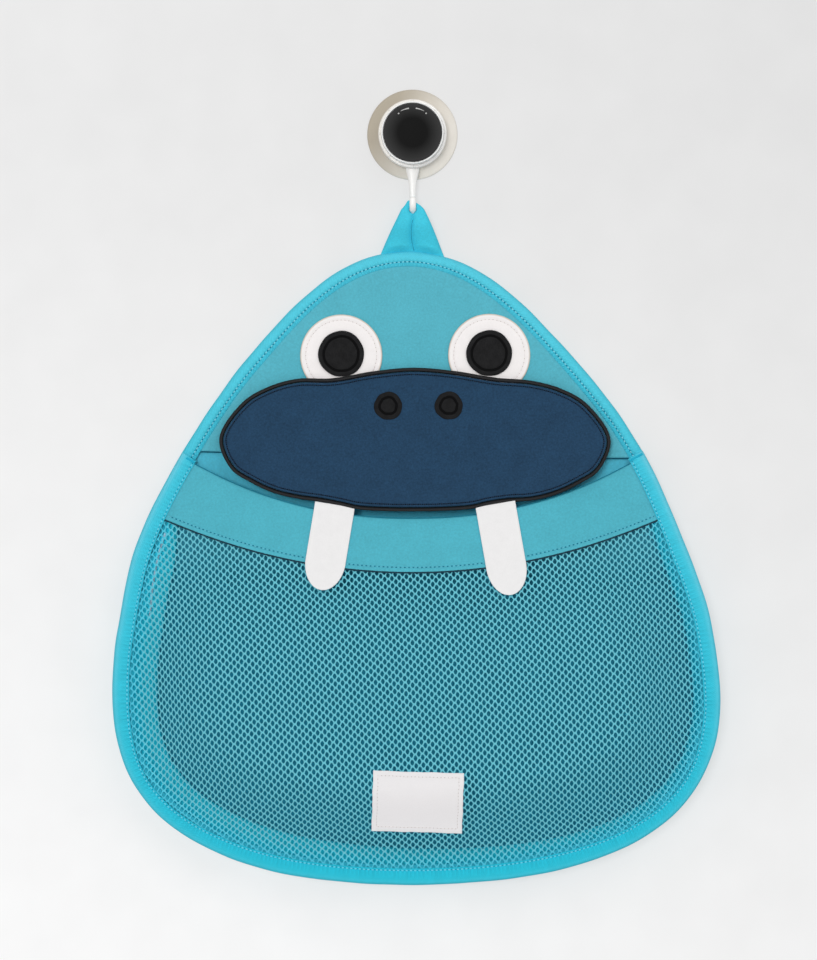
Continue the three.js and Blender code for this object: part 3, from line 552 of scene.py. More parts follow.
class Finish:
    """A material's node tree with short calls for the nodes that the finishes share."""

    def __init__(self, name, roughness):
        self.material = bpy.data.materials.new(name)
        self.material.use_nodes = True
        self.tree = self.material.node_tree
        self.shader = self.tree.nodes["Principled BSDF"]
        self.put(self.shader.inputs["Roughness"], roughness)
        self.place = self.node("ShaderNodeTexCoord").outputs["Object"]

    def put(self, socket, value):
        if isinstance(value, bpy.types.NodeSocket):
            self.tree.links.new(value, socket)
        else:
            socket.default_value = value

    def node(self, kind, sockets=(), **settings):
        made = self.tree.nodes.new(kind)
        for key, value in settings.items():
            setattr(made, key, value)
        for key, value in dict(sockets).items():
            self.put(made.inputs[key], value)
        return made

    def mapped(self, **moves):
        return self.node("ShaderNodeMapping", {"Vector": self.place, **moves}).outputs["Vector"]

    def noise(self, size, detail=3, stretch=None):
        place = self.mapped(Scale=stretch) if stretch else self.place
        sockets = {"Scale": 1 / (size * MM), "Detail": detail, "Vector": place}
        return self.node("ShaderNodeTexNoise", sockets).outputs["Fac"]

    def bands(self, pitch, axis, turn):
        place = self.mapped(Rotation=(0, math.radians(turn), 0))
        sockets = {"Scale": 2 * math.pi / (20 * pitch * MM), "Distortion": 0, "Vector": place}
        return self.node("ShaderNodeTexWave", sockets, wave_type="BANDS", bands_direction=axis).outputs["Fac"]

    def math(self, operation, first, second=0):
        return self.node("ShaderNodeMath", {0: first, 1: second}, operation=operation).outputs[0]

    def total(self, *terms):
        """A sum of products, each of a value and its weight."""
        whole, *others = [self.math("MULTIPLY", *term) for term in terms]
        for other in others:
            whole = self.math("ADD", whole, other)
        return whole

    def wave(self, run, pitch):
        return self.math("SINE", self.math("MULTIPLY", run, 2 * math.pi / pitch))

    def mark(self, name):
        """A number that the mesh carries at its points."""
        return self.node("ShaderNodeAttribute", attribute_name=name).outputs["Fac"]

    def along(self, direction, first, last):
        """From 0 to 1 between two places along a direction."""
        made = self.node("ShaderNodeVectorMath", {0: self.place, 1: direction}, operation="DOT_PRODUCT")
        sockets = {"Value": made.outputs["Value"], "From Min": first * MM, "From Max": last * MM}
        return self.node("ShaderNodeMapRange", sockets).outputs["Result"]

    def away(self, x, z, reach, middle=0):
        """Share of a reach from a line along Y through x and z, alike on both sides of a middle."""
        parts = self.node("ShaderNodeSeparateXYZ", {0: self.place}).outputs
        aside = self.math("ABSOLUTE", self.math("SUBTRACT", parts["X"], middle * MM))
        aside = self.math("SUBTRACT", aside, x * MM)
        above = self.math("SUBTRACT", parts["Z"], z * MM)
        return self.math("DIVIDE", self.math("SQRT", self.total((aside, aside), (above, above))), reach * MM)

    def ramp(self, factor, *stops):
        """Colours, or greys given as one number, at places from 0 to 1."""
        made = self.node("ShaderNodeValToRGB", {"Fac": factor})
        elements = made.color_ramp.elements
        while len(elements) < len(stops):
            elements.new(0.5)
        for element, (position, color) in zip(elements, stops):
            element.position = position
            element.color = (*np.broadcast_to(color, 3), 1)
        return made.outputs["Color"]

    def mottled(self, factor, low, high, color, spread):
        """A colour that varies from a darker to a lighter tone between two places of a factor."""
        dark, light = spread
        return self.ramp(factor, (low, linear(*color) * (1 - dark)), (high, linear(*color) * (1 + light)))

    def tint(self, color, factor, *stops):
        """A colour multiplied by a ramp."""
        sockets = {0: 1, 6: color, 7: self.ramp(factor, *stops)}
        return self.node("ShaderNodeMix", sockets, data_type="RGBA", blend_type="MULTIPLY").outputs[2]

    def done(self, shade, grain, low, high, bump=None, **values):
        """The material with its colour, its roughness from low to high by a grain, and its bump."""
        rough = self.node("ShaderNodeMapRange", {"Value": grain, "To Min": low, "To Max": high})
        values.update(Base_Color=shade, Roughness=rough.outputs["Result"])
        if bump:
            height, depth, strength = bump
            sockets = {"Height": height, "Distance": depth * MM, "Strength": strength}
            values["Normal"] = self.node("ShaderNodeBump", sockets).outputs["Normal"]
        for key, value in values.items():
            self.put(self.shader.inputs[key.replace("_", " ")], value)
        return self.material


def cloth(name, color, yarn, depth, mottle=0.06, roughness=0.85, gloss=0.25, turn=0, inside=(), painted_tones=()):
    """Woven or knitted cloth: crossing threads, a soft mottle and a little fuzz. Each inside is a tone that
    it takes on from one drop to another, and from one depth to another where these are given. Painted tones
    are a mark of the mesh and the painted light and shade along it. A tape, marked across, has slanted ribs
    and gathers."""
    made = Finish(name, roughness)
    weave = made.math("MULTIPLY", made.bands(yarn, "X", turn), made.bands(yarn, "Z", turn))
    fuzz = made.noise(yarn * 2.2)
    height = made.total((weave, 0.6), (fuzz, 1))
    tone = made.total((weave, 0.25), (fuzz, 0.55), (made.noise(14), 0.2))
    if "across" in painted_tones:
        across, run = made.mark("across"), made.mark("run")
        rib = made.wave(made.total((run, 1), (across, RIB_LEAN)), RIB_PITCH)
        gather = made.math("MULTIPLY", made.wave(run, STITCH_PITCH), made.ramp(across, *TAPE_GATHER))
        crumple = made.node("ShaderNodeTexNoise", {"W": run, "Scale": 1 / CRUMPLE}, noise_dimensions="1D")
        crumple = made.math("MULTIPLY", crumple.outputs["Fac"], made.ramp(across, *TAPE_CRUMPLE))
        tone = made.total((tone, 1), (rib, 0.1), (gather, 0.16), (crumple, 0.4), (-0.2, 1))
        height = made.total((height, 1), (rib, 1), (gather, 3), (crumple, 12))
    shade = made.mottled(tone, 0.2, 0.75, color, (mottle, mottle))
    if painted_tones:
        mark, stops = painted_tones
        shade = made.tint(shade, made.mark(mark), *stops)
    for start, end, factors, *depths in inside:
        share = made.along((0, 0, 1), height_at(start), height_at(end))
        if depths:
            share = made.math("MULTIPLY", share, made.along((0, 1, 0), *depths))
        shade = made.tint(shade, share, (0, 1), (1, factors))
    return made.done(shade, fuzz, roughness - 0.08, roughness + 0.08, (height, depth, 1),
                     Specular_IOR_Level=gloss)


def thread(name, *color, roughness=0.6, gloss=0.25):
    return cloth(name, color, 0.3, 0.03, roughness=roughness, gloss=gloss)


# Painted shade: a darker, rougher thread, for needle holes, creases and dark edge lines; the bar tacks use it
# too
def hole(name, *color, gloss=0.25):
    return thread(name, *color, roughness=0.8, gloss=gloss)


def cyan_tape(name, low_red, painted_tones):
    """Woven tape that turns deeper and bluer from the top of the bag to its bottom."""
    inside = [(0, BAG_HEIGHT, (low_red, 0.885, 0.91))]
    return cloth(name, (86, 209, 231), 0.5, 0.08, mottle=0.09, roughness=0.68, gloss=0.22, turn=45,
                 inside=inside, painted_tones=("across", painted_tones))


def felt(name, *color, mottle=0.04, edge=None):
    """Pressed felt: tangled fibres at two sizes, and where an edge is given, a tone at an eye patch's rim:
    the eye's own cream edge, and on the pupils a painted highlight.
    """
    made = Finish(name, 0.92)
    fibres = made.noise(0.7, 5, (1, 1, 0.5))
    tone = made.total((fibres, 0.5), (made.noise(5), 0.5))
    shade = made.mottled(tone, 0.25, 0.7, color, (mottle, mottle / 2))
    if edge:
        (drop, radius, _), rim = edge
        share = made.away(EYE_SPREAD, height_at(drop), radius, EYE_SHIFT)
        shade = made.tint(shade, share, (0.955, 1), (0.985, rim))
    return made.done(shade, fibres, 0.86, 0.98, (tone, 0.12, 1), Specular_IOR_Level=0.12)


def plastic(name, color, roughness, grain, mottle=0.02, coat=0.0, gloss=0.5, lean=None, dome=None):
    """Moulded plastic or vinyl: a faint grain, flow marks and small scuffs. A lean paints shade on its
    upper left, and a dome is a painted reflection, darker in its middle and lighter toward its rim."""
    made = Finish(name, roughness)
    spots = made.noise(grain, 4)
    shade = made.mottled(made.noise(12, 2, (1, 1, 0.3)), 0.3, 0.7, color, (mottle, mottle / 2))
    if lean:
        reach, low = lean
        shade = made.tint(shade, made.along((0.85, 0, -0.53), -reach, reach), (0.1, low), (0.9, 1))
    if dome:
        reach, low = dome
        shade = made.tint(shade, made.away(0, 0, reach), (0.5, low), (1, 1))
    return made.done(shade, spots, roughness - 0.07, roughness + 0.09, (spots, 0.02, 0.5),
                     Coat_Weight=coat, Coat_Roughness=0.2, Specular_IOR_Level=gloss)


def steel(name):
    made = Finish(name, 0.3)
    rings = made.noise(0.5, 3, (1, 8, 1))
    shade = made.ramp(rings, (0.3, linear(150, 152, 156)), (0.7, linear(196, 198, 200)))
    return made.done(shade, rings, 0.22, 0.4, Metallic=1.0)


TAPE_GATHER = ((0.35, 0), (0.7, 1), (1, 0.7))
TAPE_CRUMPLE = ((0, 0.5), (0.4, 1), (1, 1))
# Painted highlight along the back binding's outer fold, and painted shade over its stitched inner part
TAPE_PAINTED_LIGHT = (
    (0, (0.96, 0.95, 0.95)), (0.3, (1.06, 1.03, 1.03)), (0.55, (0.96, 0.99, 0.99)),
    (0.72, (0.66, 0.89, 0.92)), (1, (0.64, 0.86, 0.9)),
)
# Painted highlight near the pocket binding's outer fold, and painted shade over its inner part
RIM_PAINTED_LIGHT = (
    (0, (1.6, 1, 1)), (0.18, (2, 1.07, 1.06)), (0.36, (1, 0.99, 1)), (0.55, (0.76, 0.97, 0.99)),
    (0.75, (0.74, 0.98, 1)), (0.88, (0.85, 1.02, 1.04)), (1, (0.8, 1, 1.02)),
)
# Painted light over the gusset's wall, and painted shade at its rim behind the net's first holes
GUSSET_PAINTED_LIGHT = ((0.8, (1, 1.1, 1.08)), (0.95, (0.88, 0.86, 0.88)), (1, (0.66, 0.55, 0.58)))
# Painted light: the yarn turns bluer and brighter within a few millimetres of the rim, where the lit gusset
# shows behind it
NET_PAINTED_LIGHT = ((0, (0.55, 1.18, 1.28)), (3 / (NET_RIM[1] - NET_RIM[0]), (0.6, 1.12, 1.2)), (1, 1))
PANEL_FACE = (-2.8, -3.4)
# Painted light: the back panel's front face is lightened and blued against the shade under the muzzle
MOUTH_PAINTED_LIGHT = (-20, -10, (0.86, 1.13, 1.22), *PANEL_FACE)
# Painted shade: the back panel's front face darkens inside the pocket, behind the net
POCKET_PAINTED_SHADE = (165, 215, (0.151, 0.442, 0.492), *PANEL_FACE)
# Painted light: the label lightens toward its lower part, which faces down
LABEL_PAINTED_LIGHT = (LABEL_DROP - 20, LABEL_DROP + 20, (1.13, 1.12, 1.12))

TEAL = cloth("teal_knit", (87, 181, 199), 0.55, 0.05, mottle=0.2)
BAND_TEAL = cloth("teal_band", (80, 179, 197), 0.55, 0.05, mottle=0.2)
# The back panel's teal carries the painted light and shade above on its front face
BACK_TEAL_PAINTED = cloth("teal_knit_back", (92, 186, 203), 0.55, 0.05, mottle=0.18, inside=(MOUTH_PAINTED_LIGHT, POCKET_PAINTED_SHADE))
CYAN = cyan_tape("cyan_tape", 0.27, TAPE_PAINTED_LIGHT)
RIM_CYAN = cyan_tape("cyan_rim_tape", 0.22, RIM_PAINTED_LIGHT)
LOOP_CYAN = cloth("cyan_loop", (66, 205, 230), 0.5, 0.08, mottle=0.17, roughness=0.68, gloss=0.2, turn=45)
# The gusset's colour is raised to paint in light that comes through the cloth from outside
GUSSET_CYAN = cloth("cyan_gusset", (50, 228, 252), 0.5, 0.05, mottle=0.12, roughness=0.75, turn=45,
                    painted_tones=("wall", GUSSET_PAINTED_LIGHT))
NET_TEAL = cloth("net_yarn", (104, 196, 212), 0.35, 0.06, mottle=0.07, roughness=0.75,
                 painted_tones=("rim", NET_PAINTED_LIGHT))
NAVY = cloth("navy_knit", (35, 66, 94), 0.55, 0.06, mottle=0.45, gloss=0.15)
BLACK_CORD = cloth("black_piping", (24, 24, 26), 0.45, 0.05, mottle=0.1, roughness=0.6, turn=30)
LABEL_WHITE = cloth("label_weave", (234, 232, 233), 0.4, 0.04, mottle=0.03, roughness=0.7,
                    inside=[LABEL_PAINTED_LIGHT])
# Painted highlight: a pale cord on the gusset's fold
PALE_HIGHLIGHT = cloth("pale_fold_highlight", (190, 220, 234), 0.4, 0.05)
DARK_EDGE = cloth("dark_edge", (20, 52, 68), 0.4, 0.03, roughness=0.8)
BLACK_FELT = felt("black_felt", 31, 31, 32, mottle=0.5)
# Painted highlight: a lighter ring at each pupil's rim
PUPIL_FELT = felt("pupil_felt", 33, 33, 34, mottle=0.55, edge=(PUPIL, 1.6))
WHITE_FELT = felt("white_felt", 237, 236, 236)
EYE_FELT = felt("eye_felt", 246, 242, 241, edge=(EYE, (0.74, 0.67, 0.58)))
# The hole finishes below are painted shade: darker cords where the thread dips into the cloth
CYAN_THREAD = thread("cyan_thread", 140, 222, 236)
CYAN_HOLE = hole("cyan_needle_hole", 12, 118, 148)
CYAN_TACK = hole("cyan_tack", 28, 172, 204)
RIM_THREAD = thread("rim_thread", 120, 217, 235)
RIM_HOLE = hole("rim_needle_hole", 26, 156, 184)
TEAL_THREAD = thread("teal_thread", 100, 192, 210)
TEAL_HOLE = hole("teal_needle_hole", 12, 96, 120)
BAND_HOLE = hole("band_needle_hole", 20, 125, 150)
NAVY_THREAD = thread("navy_thread", 14, 30, 50)
BLACK_PAINTED_SHADE = hole("black_painted_shade", 6, 6, 7, gloss=0.1)
WHITE_THREAD = thread("white_thread", 236, 231, 230)
WHITE_HOLE = hole("white_needle_hole", 196, 186, 182)
# Painted shade and light: the cup darkens toward its upper left and lightens toward its lower right
IVORY = plastic("ivory_vinyl", (236, 231, 222), 0.42, 0.8, mottle=0.05, coat=0.1,
                lean=(26, (0.56, 0.52, 0.45)))
WHITE_PLASTIC = plastic("white_plastic", (247, 247, 246), 0.35, 0.6)
# Painted shade: the collar darkens toward its upper left
BRACKET_PLASTIC = plastic("bracket_plastic", (247, 246, 244), 0.35, 0.6, lean=(23, (0.84, 0.81, 0.76)))
# Painted reflection: the knob's dome is darkest in its middle and lighter toward its rim
DARK_PLASTIC = plastic("dark_plastic", (56, 56, 56), 0.5, 0.5, mottle=0.08, gloss=0.06, dome=(19.1, 0.12))
PRINT = plastic("pale_print", (200, 200, 198), 0.5, 0.4)
STEEL = steel("turned_steel")


# Panels
def back_panel():
    u = np.linspace(0, 1, 180, endpoint=False)
    loop = OUTLINE.inset(u, step_in(u) + SEWN_SEAT)
    mesh = patch(loop, rounded_edge(PANEL_THICK, 0.7), flat(BACK_PANEL), np.linspace(0.1, 0.9, 9))
    piece = make_object("back_panel_cloth", mesh, BACK_TEAL_PAINTED, "bag", "back_panel")


def face_panel():
    ends = [first_below(HEM_DROP + side * HEM_TILT, SEWN_SEAT, side) for side in (-1, 1)]
    top = OUTLINE.inset(np.linspace(*ends, 150), SEWN_SEAT)
    hang = HEM_SAG * np.sin(math.pi * np.linspace(0, 1, 60))
    bottom = np.linspace(top[-1], top[0], 62)[1:-1] - hang[:, None] * [0, 1]
    loop = np.concatenate([top, bottom])

    def surface(plane):
        """Flat, with a soft roll where the padded cloth comes out from under the binding."""
        inset = inset_at(plane)
        rise, fall = (smooth((inset - start) / run) for start, run in (ROLL_RISE, ROLL_FALL))
        return FACE_PANEL[0] - EDGE_ROLL * rise * (1 - fall)

    shares = np.concatenate([np.linspace(0.02, 0.25, 30), np.linspace(0.3, 0.95, 9)])
    mesh = patch(loop, rounded_edge(PANEL_THICK, 0.8), surface, shares)
    piece = make_object("face_panel_cloth", mesh, TEAL, "bag", "face_panel")
    # Painted shadow: a thin dark cord under the hem
    hem_shadow = tube(space(bottom - [0, HEM_PROUD], sum(FACE_PANEL) / 2), *HEM_SHADOW_CORD)
    make_object("face_panel_hem_shadow", hem_shadow, TEAL_HOLE, "bag")


# Bindings: a folded tape, dimpled by its stitching
def tape_section(width, back, front, seam):
    """Inset and depth of a folded tape round a seam, with a soft fold and a stitched dimple."""
    fold = min(TAPE_FOLD, (back - front) / 2)
    turn = np.linspace(0, math.pi / 2, 6)
    section = [(width, back), (seam, back)]
    section += [(fold * (1 - math.sin(t)), back - fold * (1 - math.cos(t))) for t in turn]
    section += [(fold * (1 - math.cos(t)), front + fold * (1 - math.sin(t))) for t in turn]
    for k in np.linspace(0.15, 0.9, 6):
        section.append((mix(fold, seam, k), front - TAPE_SWELL * math.sin(math.pi * k)))
    section += [(seam, front + 0.35), (mix(seam, width, 0.5), front - 0.1), (width - 0.4, front)]
    section += [(width, front + 0.3), (width, front + TAPE_THICK), (TAPE_THICK, front + TAPE_THICK)]
    section += [(TAPE_THICK, back - TAPE_THICK), (width, back - TAPE_THICK)]
    return np.array(section).T


def binding(node, u, closed, width, seam, tape, depth, start_in, finishes, seed, narrow=0):
    back, front = tape
    name, length = f"{node}_tape", OUTLINE.length * (u[-1] - u[0])
    run = np.linspace(0, length, int(length / (STITCH_PITCH / 2)))
    gathers = TAPE_GATHERS * np.cos(run * 2 * math.pi / STITCH_PITCH)
    pucker = waves(run, PUCKER_RUN, TAPE_PUCKER, seed) + gathers
    ripple = np.interp(u, np.linspace(u[0], u[-1], len(run)), pucker)
    wander = waves(u * OUTLINE.length, WANDER_RUN, TAPE_WANDER, seed + 1)
    if closed:
        near_join = smooth(np.minimum(u - u[0], u[0] + 1 - u) * 40)
        ripple, wander = ripple * near_join, wander * near_join

    def narrowed(here):
        return 1 - narrow * hump(drop_at(OUTLINE.at(here)[..., 1]), *RIM_CORNER)

    inward, level = tape_section(width, back, front, seam)
    outer = np.clip(1 - inward / width, 0, 1)
    here = u[:, None]
    plane = OUTLINE.inset(here, inward * narrowed(here) + start_in(here) + wander[:, None] * outer)
    lift = ripple[:, None] * np.where(level < (back + front) / 2, -outer, 0)
    rings = space(plane, depth(plane[..., 1]) + level + lift)
    marks = {"across": np.tile(inward / width, len(u)), "run": np.repeat(u * OUTLINE.length, len(inward))}
    piece = make_object(name, loft(rings, closed), finishes[0], "bag", node, crease=50,
                        marks=marks)
    here = np.linspace(u[0], u[-1], 900)
    plane = OUTLINE.inset(here, seam * narrowed(here) + start_in(here))
    for side, sunk, out in (("front", front + FRONT_SINK, -1), ("back", back - BACK_SINK, 1)):
        line = space(plane, depth(plane[:, 1]) + sunk)
        sew(f"{name}_{side}", line, finishes[1:], "bag", (0, out, 0))


def back_binding():
    u = np.linspace(0.5, 1.5, 720, endpoint=False)
    binding("back_binding", u, True, BACK_BINDING, SEAM_DEPTH, BACK_TAPE, lambda z: 0, step_in,
            (CYAN, CYAN_THREAD, CYAN_HOLE), seed=17)


def pocket_binding():
    u = np.linspace(first_below(RIM_TIPS["right"]), 1 + first_below(RIM_TIPS["left"], side=-1), 560)
    binding("pocket_binding", u, False, POCKET_BINDING, POCKET_BINDING - RIM_SEAM, RIM_TAPE, rim_depth,
            lambda here: 0, (RIM_CYAN, RIM_THREAD, RIM_HOLE), seed=19, narrow=RIM_NARROW)
    for side, here in (("right", u[1]), ("left", u[-2])):
        plane = OUTLINE.inset(here, np.linspace(*RIM_TACKS[side], 12))
        tack = tube(space(plane, rim_depth(plane[:, 1]) + RIM_TAPE[1] - TACK_RISE), *TACK_CORD)
        make_object(f"pocket_binding_tack_{side}", tack, CYAN_TACK, "bag")


# Pocket
def gusset_ends(here):
    """The gusset's insets at the back and at the rim, and the depth of its rim."""
    turn_out = EDGE_SEAT + GUSSET_THICK
    inner = np.maximum(step_in(here) + BACK_BINDING, POCKET_BINDING) + turn_out
    rim = rim_depth(OUTLINE.at(here)[..., 1]) + RIM_SEAT + GUSSET_THICK / 2
    return inner, POCKET_BINDING + turn_out, rim


def pocket_gusset():
    start = first_below(GUSSET_DROP)
    u = np.linspace(start, 1 - start, 320)
    share = np.linspace(0, 1, 7)
    inner, outer, rim = gusset_ends(u[:, None])
    soft = waves(u * OUTLINE.length, *GUSSET_RIPPLE, seed=3)[:, None]
    wall = mix(inner, outer, smooth(share)) + soft * np.sin(math.pi * share)
    lip, foot = np.full_like(inner, outer), np.full_like(inner, FLANGE_BACK)
    line = np.stack([
        np.hstack([inner - SEAM_DEPTH, inner - FLANGE_BEND, wall, lip - LIP_BEND, lip - SEAM_DEPTH]),
        np.hstack([foot, foot, mix(GUSSET_BACK, rim - LIP_TURN, share), rim, rim]),
    ], -1)
    side = right_of(np.gradient(line, axis=1)) * GUSSET_THICK / 2
    section = np.concatenate([line - side, (line + side)[:, ::-1]], 1)
    mesh = loft(space(OUTLINE.inset(u[:, None], section[..., 0]), section[..., 1]))
    share = np.concatenate([[0, 0], share, [1, 1]])
    marks = {"wall": np.tile(np.concatenate([share, share[::-1]]), len(u))}
    piece = make_object("pocket_gusset_cloth", mesh, GUSSET_CYAN, "bag", "pocket_gusset",
                        crease=70, marks=marks)


def gusset_fold_highlight():
    """A pale cord of painted highlight on the gusset's fold, which shows through the net high on the left."""
    left = 1 - np.linspace(0, 0.5, 2000)
    drop = drop_at(OUTLINE.at(left)[:, 1])
    (first, near), (last, far) = FOLD_HIGHLIGHT
    shares = np.linspace(0, 1, 41)
    line = []
    for here in left[(drop > first) & (drop < last)][::4]:
        inner, outer, rim = gusset_ends(here)
        inset = mix(near, far, (drop_at(OUTLINE.at(here)[1]) - first) / (last - first))
        share = np.interp(inner - inset, (inner - outer) * smooth(shares), shares)
        depth = mix(GUSSET_BACK, rim - LIP_TURN, share) - FOLD_HIGHLIGHT_RISE
        line.append(space(OUTLINE.inset(here, inset), depth))
    make_object("pocket_gusset_fold_highlight", tube(line, *FOLD_HIGHLIGHT_CORD), PALE_HIGHLIGHT, "bag")


def band_line(drop, sag, power):
    """An edge of the band from its left end to its right."""
    ends = [first_below(drop, RIM_INSET, side, sag, power) for side in (-1, 1)]
    x = np.linspace(*OUTLINE.inset(ends, RIM_INSET)[:, 0], 150)
    return paired(x, band_edge(x, drop, sag, power))


def pocket_band():
    low, high = band_line(*BAND_BOTTOM), band_line(*BAND_TOP)

    def swept(section, trim=0):
        """Carries a section along the band: shares of its height, rises in millimetres and depths."""
        share, rise, depth = np.array(section).T
        first, last = (edge[trim:len(edge) - trim] for edge in (low, high))
        tall = np.linalg.norm(last - first, axis=1, keepdims=True)
        plane = first[:, None] + unit(last - first)[:, None] * (tall * share + rise)[..., None]
        return laid(pocket_front, plane, depth)

    spread = (0.25, 0.4, 0.55, 0.7, 0.85)
    front = [(0, 0, -1.0), (0, 0.2, -1.5), (0, 0.7, BAND_FRONT), (0, BAND_SEAM - 0.7, BAND_FRONT)]
    front += [(0, BAND_SEAM, BAND_FRONT + 0.3), (0, BAND_SEAM + 0.7, BAND_FRONT)]
    front += [(s, 0, BAND_FRONT) for s in spread] + [(1, -0.7, BAND_FRONT), (1, -0.2, -1.3), (1, 0, -0.6)]
    back = [(1, -0.2, 0.1), (1, -0.8, BAND_BACK)] + [(s, 0, BAND_BACK) for s in spread[::-1]]
    back += [(0, BAND_LAP + 0.2, BAND_BACK), (0, BAND_LAP, -0.85), (0, 0.1, -0.85)]
    mesh = loft(swept(front + back))
    piece = make_object("pocket_band_cloth", mesh, BAND_TEAL, "bag", "pocket_band",
                        crease=60)
    bottom = [(0, -0.85, -1.3), (0, -0.1, -1.45), (0, -0.1, -0.75), (0, -0.85, -0.75)]
    top = [(1, -0.1, -0.55), (1, 0.6, -0.45), (1, 0.6, 0.1), (1, -0.1, 0.1)]
    # The top edge strip is painted shadow: a thin dark line along the band's top edge
    for name, section, finish in (("dark_edge", bottom, DARK_EDGE), ("top_edge", top, BAND_HOLE)):
        make_object(f"pocket_band_{name}", loft(swept(section, 2)), finish, "bag")
    line = swept([(0, BAND_SEAM, BAND_FRONT + 0.15)], 3)[:, 0]
    sew("pocket_band", line, (TEAL_THREAD, BAND_HOLE), "bag", radius=0.5)


def net_lengths():
    """Heights down the pocket's middle and places across it, with the lengths to them over its bulge."""
    step = 2.0
    z = np.arange(height_at(BAND_TOP[0] - NET_HEADROOM), height_at(BAG_HEIGHT), -step)
    x = np.arange(0, BAG_WIDTH / 2, step)
    depth = pocket_front(paired(x, z[:, None]))
    down = np.concatenate([[0], np.cumsum(np.hypot(step, np.diff(depth[:, 0])))])
    across = np.cumsum(np.hypot(step, np.diff(depth, axis=1)), axis=1)
    return x, z, down, np.concatenate([np.zeros((len(z), 1)), across], axis=1)


def mesh_pocket():
    x, z, down, across = net_lengths()
    half_x, half_z = NET_PITCH[0] / 2, NET_PITCH[1] / 2
    quarter = np.array([(1, 0), (0.5, 0.5), (0, 1), (-0.5, 0.5)])
    rim = np.concatenate([quarter, -quarter]) * [half_x, -half_z]
    gap = circle(0, 0, 1, 8) * [NET_GAP[0] / 2, -NET_GAP[1] / 2]
    gap[1::2] *= NET_GAP_PINCH
    rows = np.arange(-NET_SPARE_ROWS, int(down[-1] / half_z) + NET_SPARE_ROWS)
    columns = range(-NET_COLUMNS, NET_COLUMNS + 1)
    tiles = np.array([
        ((column + (row % 2) / 2) * NET_PITCH[0], row * half_z) for row in rows for column in columns
    ])

    def to_surface(lattice):
        """Plane points from places on the net's slightly skewed lattice."""
        aside = lattice[:, 0] + NET_SKEW[0] * (lattice[:, 1] - down[-1] / 2)
        below = np.clip(lattice[:, 1] + NET_SKEW[1] * lattice[:, 0], 0, down[-1])
        level = np.interp(below, down, np.arange(len(z)))
        first = np.clip(level.astype(int), 0, len(z) - 2)
        plane_x = np.empty(len(lattice))
        for k in np.unique(first):
            pick = first == k
            ends = [np.interp(np.abs(aside[pick]), across[i], x, right=FAR_ASIDE) for i in (k, k + 1)]
            plane_x[pick] = np.sign(aside[pick]) * mix(*ends, level[pick] - k)
        return paired(plane_x, np.interp(below, down, z))

    centre = to_surface(tiles)
    inset = inset_at(centre)
    under = band_edge(centre[:, 0], *BAND_BOTTOM) + BAND_LAP - EDGE_SEAT - half_z
    keep = (inset > RIM_INSET + half_x) & (centre[:, 1] < under) & (np.abs(centre[:, 0]) < BAG_WIDTH / 2)
    tiles = tiles[keep]
    rim_points, gap_points = ((tiles[:, None] + part).reshape(-1, 2) for part in (rim, gap))
    _, first, merged = np.unique(np.round(rim_points / NET_MERGE).astype(int), axis=0,
                                 return_index=True, return_inverse=True)
    front = laid(pocket_front, to_surface(np.concatenate([rim_points[first], gap_points])), -NET_THICK / 2)
    points = np.concatenate([front, front + [0, NET_THICK, 0]])
    layer, rims = len(front), len(first)
    here = np.arange(len(rim_points)).reshape(-1, 8)
    after = np.roll(here, -1, 1)
    a, b = merged.ravel()[here], merged.ravel()[after]
    c, d = rims + after, rims + here
    quads = ((a, b, c, d), (layer + d, layer + c, layer + b, layer + a), (d, c, layer + c, layer + d))
    faces = np.stack([np.stack(quad, -1) for quad in quads], 2).reshape(-1, 4).tolist()
    edges = dict.fromkeys(zip(a.ravel().tolist(), b.ravel().tolist()))
    faces += [(q, p, layer + p, layer + q) for p, q in edges if (q, p) not in edges]
    near = (np.repeat(inset[keep], 8) - NET_RIM[0]) / (NET_RIM[1] - NET_RIM[0])
    marks = {"rim": np.tile(np.concatenate([near[first], near]), 2)}
    mesh = facing_out(points, faces)
    piece = make_object("mesh_pocket_net", mesh, NET_TEAL, "bag", "mesh_pocket", crease=180,
                        marks=marks)


def label():
    wide, tall = LABEL_SIZE
    turn = math.radians(LABEL_TURN)
    spin = np.array([[math.cos(turn), -math.sin(turn)], [math.sin(turn), math.cos(turn)]])

    def border(inset, count=40):
        w, h = wide / 2 - inset, tall / 2 - inset
        side = np.linspace(-1, 1, count, endpoint=False)
        top, right = paired(side * w, h), paired(w, -side * h)
        corners = np.concatenate([top, right, -top, -right])
        run = np.arange(len(corners)) * 2.0
        ripple = waves(run, 40, 0.35, seed=11) * smooth(np.abs(np.sin(run / 80 * math.pi)) * 3)
        trimmed = corners - unit(corners) * (0.35 + ripple)[:, None]
        return trimmed @ spin.T + [LABEL_SHIFT, height_at(LABEL_DROP)]

    def surface(plane):
        return pocket_front(plane) - NET_THICK / 2 - LABEL_LIFT

    mesh = patch(border(0), rounded_edge(TAPE_THICK, 0.35, 3), surface, np.linspace(0.08, 0.92, 11))
    piece = make_object("label_cloth", mesh, LABEL_WHITE, "bag", "label")
    line = laid(surface, border(LABEL_SEAM), 0.02 - TAPE_THICK)
    sew("label", line, (WHITE_THREAD, WHITE_HOLE), "bag", pitch=LABEL_PITCH,
        radius=FINE_STITCH, closed=True)


# Face
def dished(outer, groove, crown, depth):
    """A stitched disc's profile: a rounded rim, a sewn groove and a low crown inside it."""
    seam = outer - groove
    steps = ((-1.0, 0), (-0.4, -0.7 * depth), (0, -depth), (0.4, -0.7 * depth), (1.1, 0), (1.8, crown))
    profile = rounded_edge(PATCH_THICK, 0.7) + [(seam * 0.45, PATCH_THICK + 0.15)]
    return profile + [(seam + step, PATCH_THICK + rise) for step, rise in steps]


